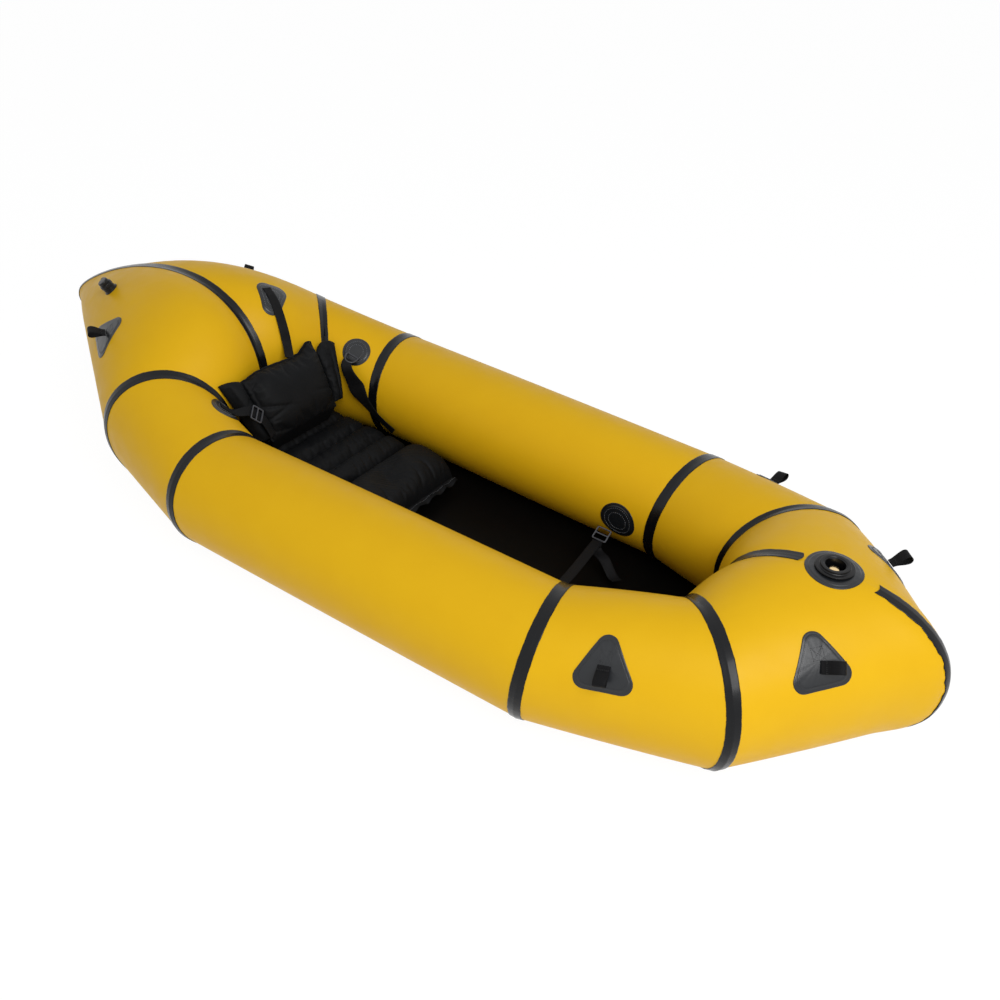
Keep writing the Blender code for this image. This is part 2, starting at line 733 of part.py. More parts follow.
def loop_place(kind, sign):
    """Return a loop's frame: X out to its eye, leaning from square, and Z along its root."""
    side = list(SIDES.values()).index(sign)
    station, angle = TIE_DOWN_STATIONS[kind], TIE_DOWN_ANGLES[kind]
    height = seat_height(WEBBING_THICKNESS * LOOP_ROOT_SHARE * 2) + LOOP_ROOT_RAISES[kind][side]
    spot = spread(sign * station, angle, 0, -LOOP_ROOT_DROPS[kind], height)
    turn = Matrix.Rotation(math.radians(LOOP_TURNS[kind][side]), 4, "Z")
    frame = hull_frame(sign * station, angle) @ turn
    lean = math.radians(LOOP_LEANS[kind][side])
    out = frame.col[2].to_3d() * math.cos(lean) - frame.col[1].to_3d() * math.sin(lean)
    axis = frame.col[0].to_3d() * -1
    place = Matrix((out, axis.cross(out), axis)).transposed().to_4x4()
    place.translation = spot
    return place


def smooth_path(points, steps):
    """Return points along a smooth curve through the given ones, without overshoot."""
    runs = [(end - start).normalized() for start, end in zip(points, points[1:])]
    turns = [runs[0]] + [(a + b).normalized() for a, b in zip(runs, runs[1:])] + [runs[-1]]
    path = []
    for index, (start, end) in enumerate(zip(points, points[1:])):
        length = (end - start).length
        leave, arrive = turns[index] * length, turns[index + 1] * length
        for step in range(steps):
            t = step / steps
            path.append(start * (1 + 2 * t) * (1 - t) ** 2 + leave * t * (1 - t) ** 2
                        + end * t * t * (3 - 2 * t) + arrive * t * t * (t - 1))
    return path + [points[-1]]


def add_ribbon(name, path, across, width, turn_shares=(0.35, 0.65)):
    """Make a flat strap along a path; across holds its width direction at both ends.

    The width direction turns from one to the other between two shares of the path's points.
    """
    mesh = bpy.data.meshes.new(name)
    work = bmesh.new()
    rows = []
    for index, point in enumerate(path):
        before = path[max(index - 1, 0)]
        after = path[min(index + 1, len(path) - 1)]
        run = (after - before).normalized()
        turn = (index / (len(path) - 1) - turn_shares[0]) / (turn_shares[1] - turn_shares[0])
        share = min(1.0, max(0.0, turn))
        wide = across[0].lerp(across[1], share)
        wide = (wide - run * wide.dot(run)).normalized() * width / 2
        rows.append((work.verts.new(point - wide), work.verts.new(point + wide)))
    for (a, b), (c, d) in zip(rows, rows[1:]):
        work.faces.new((a, b, d, c))
    work.to_mesh(mesh)
    work.free()
    return thicken(smooth(add_object(name, mesh, WEBBING)), WEBBING_THICKNESS, 0)


# Turned pieces and valves.

def add_turned(name, profile, place, surface, steps=TURN_STEPS, collection=BOAT):
    """Turn a closed profile of (radius, height) points about Z."""
    mesh = bpy.data.meshes.new(name)
    points = [(radius, 0, height) for radius, height in profile]
    on_axis = [radius <= 0 for radius, height in profile]
    edges = []
    for index in range(len(points)):
        following = (index + 1) % len(points)
        if not (on_axis[index] and on_axis[following]):
            edges.append((index, following))
    mesh.from_pydata(points, edges, [])
    made = add_object(name, mesh, surface, place, collection)
    screw = made.modifiers.new("turn", "SCREW")
    screw.steps = steps
    screw.render_steps = steps
    screw.use_merge_vertices = True
    screw.merge_threshold = 0.00001
    screw.use_smooth_shade = False
    return made


def valve_frame():
    """Return the bow valve's frame, on top of its patch."""
    return hull_frame(BOW, BOW_VALVE_ANGLE, PATCH_LIFT + PATCH_THICKNESS + CONTACT_GAP)


def add_bow_valve(panels):
    """Make the bow's inflation valve, and the holes that its cup passes through."""
    place = valve_frame()
    patch = add_patch("bow_valve_patch", BOW, BOW_VALVE_ANGLE, disc_outline(BOW_VALVE_PATCH_RADIUS), 3)
    hole = BOW_VALVE_CUP_RADIUS + VALVE_HOLE_CLEARANCE
    reach = BOW_VALVE_CUP_DEPTH
    cutter = add_turned("valve_hole", [(0, reach), (hole, reach), (hole, -reach), (0, -reach)],
                        place, VALVE, TURN_STEPS, CUTTERS)
    cutter.hide_render = True
    cutter.display_type = "WIRE"
    for piece in (patch, panels["bow_panel_port"], panels["bow_panel_starboard"]):
        cut = piece.modifiers.new("valve hole", "BOOLEAN")
        cut.object = cutter
        cut.operation = "DIFFERENCE"
        cut.solver = "EXACT"
    floor = -BOW_VALVE_CUP_DEPTH + BOW_VALVE_CUP_FLOOR
    bore = STEM_RADIUS + RUNNING_CLEARANCE
    boss = floor + BOW_VALVE_BOSS_HEIGHT
    well = BOW_VALVE_FLANGE_THICKNESS - SMALL_EDGE
    add_turned("bow_valve_body", [
        (BOW_VALVE_BORE_RADIUS, BOW_VALVE_COLLAR_HEIGHT),
        (BOW_VALVE_COLLAR_RADIUS - SMALL_EDGE, BOW_VALVE_COLLAR_HEIGHT),
        (BOW_VALVE_COLLAR_RADIUS, BOW_VALVE_COLLAR_HEIGHT - SMALL_EDGE),
        (BOW_VALVE_COLLAR_RADIUS, BOW_VALVE_FLANGE_THICKNESS),
        (BOW_VALVE_FLANGE_RADIUS - SMALL_EDGE, BOW_VALVE_FLANGE_THICKNESS),
        (BOW_VALVE_FLANGE_RADIUS, well),
        (BOW_VALVE_FLANGE_RADIUS, 0),
        (BOW_VALVE_CUP_RADIUS, 0),
        (BOW_VALVE_CUP_RADIUS, -BOW_VALVE_CUP_DEPTH),
        (bore, -BOW_VALVE_CUP_DEPTH),
        (bore, boss),
        (BOW_VALVE_BOSS_RADIUS, boss),
        (BOW_VALVE_BOSS_RADIUS, floor),
        (BOW_VALVE_BORE_RADIUS, floor),
    ], place, VALVE)
    head = boss + STEM_TRAVEL + STEM_REST_CLEARANCE
    add_turned("bow_valve_stem", [
        (0, head + STEM_HEAD_THICKNESS),
        (STEM_HEAD_RADIUS - SMALL_EDGE, head + STEM_HEAD_THICKNESS),
        (STEM_HEAD_RADIUS, head + STEM_HEAD_THICKNESS - SMALL_EDGE),
        (STEM_HEAD_RADIUS, head),
        (STEM_RADIUS, head),
        (STEM_RADIUS, -BOW_VALVE_CUP_DEPTH),
        (0, -BOW_VALVE_CUP_DEPTH),
    ], place, METAL)


def add_stern_valve():
    """Make the stern's top-up valve: base, lifting core, ribbed ring and cap with an eyelet."""
    place = hull_frame(STERN_VALVE_STATION, STERN_VALVE_ANGLE, CONTACT_GAP - STERN_VALVE_SINK)
    bore = STERN_VALVE_CORE_RADIUS + RUNNING_CLEARANCE
    add_turned("stern_valve_base", [
        (bore, STERN_VALVE_SOCKET_HEIGHT),
        (STERN_VALVE_SOCKET_RADIUS - SMALL_EDGE, STERN_VALVE_SOCKET_HEIGHT),
        (STERN_VALVE_SOCKET_RADIUS, STERN_VALVE_SOCKET_HEIGHT - SMALL_EDGE),
        (STERN_VALVE_SOCKET_RADIUS, STERN_VALVE_FLANGE_THICKNESS),
        (STERN_VALVE_FLANGE_RADIUS, STERN_VALVE_FLANGE_THICKNESS),
        (STERN_VALVE_FLANGE_RADIUS, 0),
        (0, 0),
        (0, STERN_VALVE_FLANGE_THICKNESS),
        (bore, STERN_VALVE_FLANGE_THICKNESS),
    ], place, VALVE)
    foot = STERN_VALVE_FLANGE_THICKNESS + CONTACT_GAP
    disc = STERN_VALVE_SOCKET_HEIGHT + CONTACT_GAP
    deck = disc + STERN_VALVE_CORE_DISC_THICKNESS
    neck_top = deck + CONTACT_GAP + STERN_VALVE_RING_HEIGHT
    neck = STERN_VALVE_CORE_RADIUS - RUNNING_CLEARANCE
    bore = CAP_SPIGOT_RADIUS + RUNNING_CLEARANCE
    pit = neck_top + CONTACT_GAP - CAP_SPIGOT_LENGTH - CONTACT_GAP
    add_turned("stern_valve_core", [
        (bore, neck_top),
        (neck, neck_top),
        (neck, deck),
        (STERN_VALVE_CORE_DISC_RADIUS, deck),
        (STERN_VALVE_CORE_DISC_RADIUS, disc),
        (STERN_VALVE_CORE_RADIUS, disc),
        (STERN_VALVE_CORE_RADIUS, foot),
        (0, foot),
        (0, pit),
        (bore, pit),
    ], place, VALVE)
    add_ribbed_ring(place, deck + CONTACT_GAP, STERN_VALVE_CORE_RADIUS)
    add_valve_cap(place, neck_top + CONTACT_GAP)


def add_ribbed_ring(place, height, bore):
    """Make the ribbed ring that turns on the core's neck."""
    ribs = STERN_VALVE_RING_RIBS
    outline = []
    for side in range(4 * ribs):
        depth = STERN_VALVE_RIB_DEPTH if side % 4 > 1 else 0
        turn = 2 * math.pi * side / (4 * ribs)
        outline.append(Vector((math.cos(turn), math.sin(turn))) * (STERN_VALVE_RING_RADIUS - depth))
    hole = [Vector((math.cos(turn), math.sin(turn))) * bore for turn in arc_turns(0, 342, TURN_STEPS - 1)]
    middle = place @ Matrix.Translation((0, 0, height + STERN_VALVE_RING_HEIGHT / 2))
    flat_solid("stern_valve_ring", [outline, hole], STERN_VALVE_RING_HEIGHT, middle, VALVE)


def add_valve_cap(place, height):
    """Make the cap, its spigot into the core, and the eyelet at its side."""
    top = height + STERN_VALVE_CAP_HEIGHT
    cap = add_turned("stern_valve_cap", [
        (0, top),
        (STERN_VALVE_CAP_RADIUS - SMALL_EDGE, top),
        (STERN_VALVE_CAP_RADIUS, top - SMALL_EDGE),
        (STERN_VALVE_CAP_RADIUS, height),
        (CAP_SPIGOT_RADIUS, height),
        (CAP_SPIGOT_RADIUS, height - CAP_SPIGOT_LENGTH),
        (0, height - CAP_SPIGOT_LENGTH),
    ], place, VALVE)
    reach = STERN_VALVE_CAP_RADIUS + EYELET_RADIUS - EYELET_WIRE_RADIUS / 2
    spot = place @ Matrix.Translation((-reach, 0, top - EYELET_WIRE_RADIUS * 2))
    curve = bpy.data.curves.new("eyelet", "CURVE")
    curve.dimensions = "3D"
    curve.bevel_depth = EYELET_WIRE_RADIUS
    curve.bevel_resolution = 1
    spline = curve.splines.new("POLY")
    turns = arc_turns(0, 330, 11)
    spline.points.add(len(turns) - 1)
    for point, turn in zip(spline.points, turns):
        point.co = (EYELET_RADIUS * math.cos(turn), EYELET_RADIUS * math.sin(turn), 0, 1)
    spline.use_cyclic_u = True
    eyelet = as_mesh(add_object("eyelet", curve, VALVE, spot))
    CUTTERS.objects.link(eyelet)
    BOAT.objects.unlink(eyelet)
    eyelet.hide_render = True
    eyelet.display_type = "WIRE"
    join = cap.modifiers.new("eyelet", "BOOLEAN")
    join.object = eyelet
    join.operation = "UNION"
    join.solver = "EXACT"


# Seat and backrest.

def floor_height():
    """Return the highest point of the floor under the seat."""
    return max(floor_edge(QUARTER).z, floor_edge(SIDE_AFT).z)


def floor_under(x):
    """Return the floor's height under a place on the seat, which slopes up towards the stern."""
    aft, fore = floor_edge(QUARTER), floor_edge(SIDE_AFT)
    share = min(1.0, max(0.0, (fore.x - x) / (fore.x - aft.x)))
    return fore.z + (aft.z - fore.z) * share


def cockpit_half_width(height):
    """Return half the cockpit's width between the tubes at a height, where the side panels start."""
    share = (height - SIDE_RADIUS) / SIDE_RADIUS
    return SIDE_AFT_OFFSET - SIDE_RADIUS * math.sqrt(max(0.0, 1 - share * share))


def cushion(name, columns, rows, top, bottom, levels=1):
    """Make a closed cushion from two height functions over a grid of shares, sewn at the rim."""
    mesh = bpy.data.meshes.new(name)
    work = bmesh.new()
    crease = work.edges.layers.float.new("crease_edge")
    upper, lower, seam = {}, {}, set()
    for column in range(columns + 1):
        for row in range(rows + 1):
            u, v = column / columns, row / rows
            rim = column in (0, columns) or row in (0, rows)
            upper[column, row] = work.verts.new(top(u, v))
            lower[column, row] = upper[column, row] if rim else work.verts.new(bottom(u, v))
            if rim:
                seam.add(upper[column, row])
    for column in range(columns):
        for row in range(rows):
            keys = ((column, row), (column + 1, row), (column + 1, row + 1), (column, row + 1))
            work.faces.new([upper[key] for key in keys])
            work.faces.new([lower[key] for key in reversed(keys)])
    for edge in work.edges:
        if edge.verts[0] in seam and edge.verts[1] in seam:
            edge[crease] = 1.0
    if work.calc_volume(signed=True) < 0:
        bmesh.ops.reverse_faces(work, faces=work.faces)
    work.to_mesh(mesh)
    work.free()
    made = smooth(add_object(name, mesh, CLOTH), 80.0)
    soft = made.modifiers.new("soft", "SUBSURF")
    soft.levels = levels
    soft.render_levels = levels
    return made


def crown(share, sharpness=4.0):
    """Return a crown that is 0 at both ends of a share from 0 to 1 and full between them."""
    return (1 - abs(2 * share - 1) ** sharpness) ** 0.5


def seat_rear_x():
    """Return where the seat starts, behind the seam at the cockpit's aft corner."""
    return SEAMS[SIDE_AFT].centre.x - SEAT_SETBACK


def seat_front_x():
    """Return where the channelled cushion ends and the bolster starts."""
    return seat_rear_x() + SEAT_CHANNELS * SEAT_CHANNEL_PITCH


def seat_half_width():
    """Return half the seat's width, clear of both tubes at the cushion's rim."""
    base = floor_height() + CONTACT_GAP
    return cockpit_half_width(base + SEAT_HEIGHT) - SEAT_TUBE_CLEARANCE


def add_seat():
    """Make the channelled cushion, the bolster before it and the bolster's ruffled front edge."""
    base = floor_height() + CONTACT_GAP
    half = seat_half_width()
    length = SEAT_CHANNELS * SEAT_CHANNEL_PITCH
    rim = SEAT_HEIGHT * SEAT_RIM_SHARE

    def seat_top(u, v):
        edge = crown(v, SEAT_SIDE_SHARPNESS) * crown(u, SEAT_END_SHARPNESS)
        groove = SEAT_CHANNEL_DEPTH * (math.cos(math.pi * SEAT_CHANNELS * u) ** 2) ** 2
        height = rim + (SEAT_HEIGHT - rim - groove * crown(u, SEAT_GROOVE_SHARPNESS)) * edge
        return Vector((seat_rear_x() + length * u, half * (2 * v - 1), base + height))

    def seat_bottom(u, v):
        x = seat_rear_x() + length * u
        full = crown(v, SEAT_SIDE_SHARPNESS) * crown(u, SEAT_END_SHARPNESS) * UNDERSIDE_FULL_SHARE
        sink = (base + rim - floor_under(x) - CONTACT_GAP) * min(1.0, full)
        return Vector((x, half * (2 * v - 1), base + rim - sink))

    cushion("seat_cushion", 3 * SEAT_CHANNELS, 6, seat_top, seat_bottom)
    start = seat_front_x() + CUSHION_GAP
    low = BOLSTER_HEIGHT * BOLSTER_RIM_SHARE

    def bolster_top(u, v):
        edge = crown(v, SEAT_SIDE_SHARPNESS) * crown(u, SOFT_SHARPNESS)
        dimple = BOLSTER_DIMPLE_DEPTH * math.exp(-((u - 0.5) ** 2 + (v - 0.5) ** 2) * DIMPLE_SHARPNESS)
        height = low + (BOLSTER_HEIGHT - low - dimple) * edge
        return Vector((start + BOLSTER_LENGTH * u, half * (2 * v - 1), base + height))

    def bolster_bottom(u, v):
        x = start + BOLSTER_LENGTH * u
        full = crown(v, SEAT_SIDE_SHARPNESS) * crown(u, SOFT_SHARPNESS) * UNDERSIDE_FULL_SHARE
        sink = (base + low - floor_under(x) - CONTACT_GAP) * min(1.0, full)
        return Vector((x, half * (2 * v - 1), base + low - sink))

    cushion("seat_bolster", 6, 8, bolster_top, bolster_bottom)
    add_seat_flange(start + BOLSTER_LENGTH + CUSHION_GAP, half, base + low)


def add_seat_flange(x, half, height):
    """Make the sewn edge that stands out of the bolster's front seam in ruffles."""
    mesh = bpy.data.meshes.new("seat_front_edge")
    work = bmesh.new()
    rows = []
    count = 4 * SEAT_FLANGE_RUFFLES
    for index in range(count + 1):
        share = index / count
        wave = SEAT_FLANGE_RUFFLE * math.sin(2 * math.pi * SEAT_FLANGE_RUFFLES * share)
        y = half * (2 * share - 1)
        inner = work.verts.new((x, y, height))
        outer = work.verts.new((x + SEAT_FLANGE_WIDTH, y, height + wave - SEAT_FLANGE_RUFFLE))
        rows.append((inner, outer))
    for (a, b), (c, d) in zip(rows, rows[1:]):
        work.faces.new((a, b, d, c))
    work.to_mesh(mesh)
    work.free()
    return thicken(smooth(add_object("seat_front_edge", mesh, CLOTH)), SEAT_FLANGE_THICKNESS, 0)


def backrest_hinge():
    """Return the middle of the backrest's fold line, on top of the seat."""
    height = floor_height() + CONTACT_GAP + SEAT_HEIGHT + BACKREST_FLAP_THICKNESS / 2 + CONTACT_GAP
    return Vector((seat_rear_x() + BACKREST_HINGE_SETBACK, 0, height))


def backrest_seam(share):
    """Return the backrest's seam surface over its height, from the pillow's foot to its head."""
    foot = backrest_hinge() + Vector((BACKREST_FLAP_REACH, 0, BACKREST_FLAP_HEIGHT))
    head = foot + Vector((-BACKREST_RECLINE, 0, BACKREST_HEIGHT))
    return foot.lerp(head, share)


def add_backrest():
    """Make the backrest's pillow with its hinge flap, and the wings beside it."""
    up = Vector((-BACKREST_RECLINE, 0, BACKREST_HEIGHT)).normalized()
    front = Vector((up.z, 0, -up.x))
    flap_share = BACKREST_FLAP_SHARE

    def half_width(share):
        return (BACKREST_FLAP_WIDTH + (BACKREST_TOP_WIDTH - BACKREST_FLAP_WIDTH) * share) / 2

    def surface(side):
        def point(u, v):
            across = 2 * v - 1
            if u < flap_share:
                place = backrest_hinge().lerp(backrest_seam(0), u / flap_share)
                bulge = BACKREST_FLAP_THICKNESS / 2 * min(1.0, crown(v, FLAP_SHARPNESS) * FLAP_FULL_SHARE)
                share = 0.0
            else:
                share = (u - flap_share) / (1 - flap_share)
                place = backrest_seam(share)
                puff = crown(share, SOFT_SHARPNESS) * crown(v)
                bulge = max(BACKREST_FLAP_THICKNESS / 2 * crown(v, FLAP_SHARPNESS), BACKREST_BULGE * puff)
                peak = BACKREST_CORNER_PEAK * abs(across) ** 4 * share ** 6
                place = place + up * (peak - BACKREST_CORNER_PEAK * HEAD_DIP_SHARE * share ** 8)
            rim = u in (0, 1) or v in (0, 1)
            lift = 0 if rim else bulge * side
            return Vector((place.x, half_width(share) * across, place.z)) + front * lift
        return point

    cushion("backrest_pillow", 10, 6, surface(1), surface(-1))
    for side, sign in SIDES.items():
        add_wing(side, sign, half_width, up, front)


def add_wing(side, sign, half_width, up, front):
    """Make a padded wing that stands off the pillow's edge and sweeps back along the tube."""
    start = (BACKREST_HEIGHT - WING_HEIGHT) / BACKREST_HEIGHT

    def wing(face):
        def point(u, v):
            share = start + (1 - start) * u
            place = backrest_seam(share) + up * WING_LIFTS[side] * u
            top = WING_TOP_WIDTH + WING_WIDENINGS[side]
            width = WING_BOTTOM_WIDTH + (top - WING_BOTTOM_WIDTH) * u
            outboard = half_width(share) + CUSHION_GAP + width * v
            rim = u in (0, 1) or v in (0, 1)
            lift = 0 if rim else WING_BULGE * crown(u, SOFT_SHARPNESS) * crown(v, SOFT_SHARPNESS) * face
            back = front * (lift - WING_SWEEPS[side] * v * v)
            return Vector((place.x, -sign * outboard, place.z)) + back
        return point

    cushion(f"backrest_wing_{side}", 5, 4, wing(1), wing(-1))


# Straps and hardware around the seat.

def side_patch_station(side):
    """Return a side patch's station, from its distance to the seam ahead of it."""
    run = (SEAMS[SIDE_AFT].centre - SEAMS[QUARTER].centre).length
    return SIDES[side] * (SIDE_AFT - SIDE_PATCH_SETBACKS[side] / run)


def strap_on_hull(station, degrees, lift_steps=1):
    """Return a point where a strap lies on a patch."""
    height = seat_height(WEBBING_THICKNESS) + STRAP_CLEARANCE
    return lifted(station, math.radians(degrees), height * lift_steps)


def buckle_outlines():
    """Return a ladder lock's frame and its two slots, in its own plane."""
    half_length, half_width = BUCKLE_LENGTH / 2, BUCKLE_OUTER_WIDTH / 2
    corner = BUCKLE_BAR

    def box(low_x, high_x, half, cut):
        return [Vector(p) for p in (
            (low_x + cut, -half), (high_x - cut, -half), (high_x, -half + cut), (high_x, half - cut),
            (high_x - cut, half), (low_x + cut, half), (low_x, half - cut), (low_x, -half + cut))]

    slot = half_width - BUCKLE_BAR
    inner = BUCKLE_BAR / 2
    return [box(-half_length, half_length, half_width, corner),
            box(-half_length + BUCKLE_BAR, -inner, slot, corner / 3),
            box(inner, half_length - BUCKLE_BAR, slot, corner / 3)]


def add_buckle(name, place):
    """Make a ladder lock: a frame with a middle bar and two slots."""
    return flat_solid(name, buckle_outlines(), BUCKLE_HEIGHT, place, PLASTIC)


def frame_from(position, along, out):
    """Return a frame at a position with X along a strap and Z out of its face."""
    x = along.normalized()
    z = (out - x * out.dot(x)).normalized()
    frame = Matrix((x, z.cross(x), z)).transposed().to_4x4()
    frame.translation = position
    return frame


def add_seat_straps():
    """Make the side patches, the straps that hold the backrest, the D-ring and the ladder lock."""
    for side in SIDES:
        add_patch(f"side_patch_{side}", side_patch_station(side), SIDE_PATCH_ANGLE,
                  disc_outline(SIDE_PATCH_RADIUS))
    add_rear_strap()
    add_starboard_strap()
    add_port_strap()


def add_rear_strap():
    """Make the stern patch and the strap from it over the tube to the backrest's head."""
    outline = triangle_outline(REAR_PATCH_LENGTH, REAR_PATCH_WIDTH, REAR_PATCH_CORNER)
    add_patch("rear_patch", -REAR_PATCH_STATION, REAR_PATCH_ANGLE, outline)
    head = backrest_seam(1.0)
    up = Vector((-BACKREST_RECLINE, 0, BACKREST_HEIGHT)).normalized()
    end = head + Vector((0, BACKREST_TOP_WIDTH / 2 * REAR_STRAP_END_SHARE, 0))
    end += up * (WEBBING_THICKNESS / 2 + CUSHION_GAP - REAR_STRAP_TUCK)
    start_angle = REAR_PATCH_ANGLE - REAR_STRAP_START
    hull = [strap_on_hull(-REAR_PATCH_STATION, start_angle + turn, lift_share)
            for turn, lift_share in REAR_STRAP_COURSE]
    path = smooth_path(hull + [end], 4)
    across = hull_frame(-REAR_PATCH_STATION, start_angle).col[0].to_3d()
    add_ribbon("rear_strap", path, (across, Vector((0, -1, 0))), WEBBING_WIDTH, (0.6, 0.95))


def add_starboard_strap():
    """Make the starboard strap from its patch through the ladder lock to the pillow's foot."""
    station = side_patch_station("starboard")
    start = strap_on_hull(station, SIDE_PATCH_ANGLE - 6, 1.1)
    second = strap_on_hull(station, SIDE_PATCH_ANGLE + 9, 2.2)
    seam = backrest_seam(LADDER_LOCK_HEIGHT_SHARE)
    half = BACKREST_FLAP_WIDTH / 2
    lock = seam + Vector((LADDER_LOCK_STANDOFF, -half - WING_BOTTOM_WIDTH, 0))
    foot = backrest_seam(STRAP_FOOT_HEIGHT_SHARE)
    end = foot + Vector((WING_BULGE + CUSHION_GAP * 2, -half - CUSHION_GAP, 0))
    frame = frame_from(lock, end - second, Vector((1, 0, 1)))
    rise = WEBBING_THICKNESS / 2 + LADDER_LOCK_CLEARANCE
    buckle = frame.copy()
    buckle.translation = lock + frame.col[2].to_3d() * (BUCKLE_HEIGHT / 2 + rise)
    add_buckle("ladder_lock_starboard", buckle)
    half_run = frame.col[0].to_3d() * BUCKLE_LENGTH / 2
    path = smooth_path([start, second, lock - half_run, lock + half_run, end], STRAP_STEPS - 4)
    width = frame.col[1].to_3d()
    across = hull_frame(station, SIDE_PATCH_ANGLE).col[0].to_3d()
    add_ribbon("side_strap_starboard", path, (across if across.dot(width) > 0 else -across, width),
               WEBBING_WIDTH, (0.25, 0.5))


def add_port_strap():
    """Make the port D-ring on its patch and the wide strap from it down to the seat's side."""
    station = side_patch_station("port")
    frame = hull_frame(station, SIDE_PATCH_ANGLE)
    frame.translation = spread(station, SIDE_PATCH_ANGLE, 0, D_RING_DROP, seat_height(2 * D_RING_WIRE_RADIUS))
    lean = math.radians(D_RING_LEAN)
    axis = frame.col[0].to_3d()
    around, out = frame.col[1].to_3d(), frame.col[2].to_3d()
    hang = around * math.sin(lean) + out * math.cos(lean)
    place = Matrix((axis, hang, axis.cross(hang))).transposed().to_4x4()
    place.translation = frame.translation
    add_d_ring("d_ring_port", place)
    tip = frame.translation + hang * (D_RING_DEPTH + D_RING_WIRE_RADIUS + CONTACT_GAP + WEBBING_THICKNESS)
    base = floor_height() + CONTACT_GAP
    seat_side = seat_half_width() + WEBBING_THICKNESS
    end = Vector((seat_rear_x() + SEAT_STRAP_RUN, seat_side, base + SEAT_HEIGHT - SEAT_STRAP_HEIGHT))
    middle = tip.lerp(end, 0.5) + Vector((0, -SIDE_STRAP_BOW, 0))
    path = smooth_path([tip, middle, end], STRAP_STEPS - 2)
    add_ribbon("side_strap_port", path, (axis, Vector((1, 0, 0))), SIDE_STRAP_WIDTH)


def add_d_ring(name, place):
    """Make a D-shaped wire ring: a straight bar along X and a bow out along Y."""
    curve = bpy.data.curves.new(name, "CURVE")
    curve.dimensions = "3D"
    curve.bevel_depth = D_RING_WIRE_RADIUS
    curve.bevel_resolution = 1
    half = D_RING_WIDTH / 2
    points = [Vector((half * math.cos(turn), D_RING_DEPTH * max(0.0, math.sin(turn)) ** 0.7, 0))
              for turn in arc_turns(0, 180, 12)]
    points += [Vector((-half / 3, 0, 0)), Vector((half / 3, 0, 0))]
    spline = curve.splines.new("POLY")
    spline.points.add(len(points) - 1)
    for point, position in zip(spline.points, points):
        point.co = (*position, 1)
    spline.use_cyclic_u = True
    return as_mesh(add_object(name, curve, PLASTIC, place))


# Foot strap.

def add_foot_strap():
    """Make the two foot patches, the ladder lock, the strap across and its hanging tail."""
    for side, sign in SIDES.items():
        add_patch(f"foot_patch_{side}", sign * FOOT_PATCH_STATION, FOOT_PATCH_ANGLE,
                  disc_outline(FOOT_PATCH_RADIUS))
    port, starboard = SIDES["port"], SIDES["starboard"]
    frame = hull_frame(port * FOOT_BUCKLE_STATION, FOOT_BUCKLE_ANGLE, seat_height(BUCKLE_HEIGHT) * 2)
    inboard = Vector((0, -1, 0))
    down = Vector((0, 0, -1))
    along = (inboard + down * 0.6).normalized()
    anchor = frame.translation + along * BUCKLE_LENGTH / 2
    buckle = frame_from(anchor, along, Vector((0, -1, 1)))
    add_buckle("foot_ladder_lock", buckle)
    clear = WEBBING_THICKNESS + 2 * STRAP_CLEARANCE
    bar = anchor + along * BUCKLE_LENGTH / 2
    start = bar + along * (WEBBING_THICKNESS + CONTACT_GAP)
    hull = [strap_on_hull(starboard * FOOT_PATCH_STATION, FOOT_PATCH_ANGLE + step, lift)
            for step, lift in ((16, 2), (6, 1), (-6, 1))]
    sag = Vector((0, 0, -FOOT_STRAP_SAG))
    path = smooth_path([start, start.lerp(hull[0], 0.5) + sag] + hull, STRAP_STEPS - 3)
    along_tube = hull_frame(starboard * FOOT_PATCH_STATION, FOOT_PATCH_ANGLE).col[0].to_3d()
    add_ribbon("foot_strap", path, (Vector((1, 0, 0)), along_tube), WEBBING_WIDTH)
    root = start - buckle.col[2].to_3d() * clear
    low = floor_height() + WEBBING_WIDTH * FOOT_TAIL_TILT_SHARE + FOOT_TAIL_CLEARANCE
    tip = Vector((root.x + FOOT_TAIL_RUN, root.y - FOOT_TAIL_REACH, low))
    middle = root.lerp(tip, 0.5) - Vector((0, 0, FOOT_TAIL_FOLD / 2))
    fold = tip + (tip - root).normalized() * FOOT_TAIL_FOLD + Vector((0, 0, FOOT_TAIL_FOLD / 2))
    lead = root + Vector((0, along.y, along.z - 1)).normalized() * FOOT_TAIL_LEAD
    path = smooth_path([root, lead, middle, tip, fold], STRAP_STEPS - 3)
    add_ribbon("foot_strap_tail", path, (buckle.col[1].to_3d(), Vector((1, 1, 0))), WEBBING_WIDTH)


def main():
    """Build the whole boat."""
    panels = add_panels()
    add_tapes()
    add_floor()
    add_tie_downs()
    add_bow_valve(panels)
    add_stern_valve()
    add_seat()
    add_backrest()
    add_seat_straps()
    add_foot_strap()


main()
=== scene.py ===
"""Looks for a one-person packraft: coated tubes, black tapes, an inflatable seat and fittings.

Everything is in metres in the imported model's own frame: X to the bow, Y to port, Z up. A place
on the hull is a station and an angle: stations 0 to 5 run along starboard from the stern seam
to the bow seam and below 0 along port, and the angle turns from outboard over the top.
"""

import logging
import math
from collections.abc import Callable, Sequence
from dataclasses import dataclass, field
from enum import Enum

import bmesh
import bpy
import numpy as np
from mathutils import Matrix, Vector

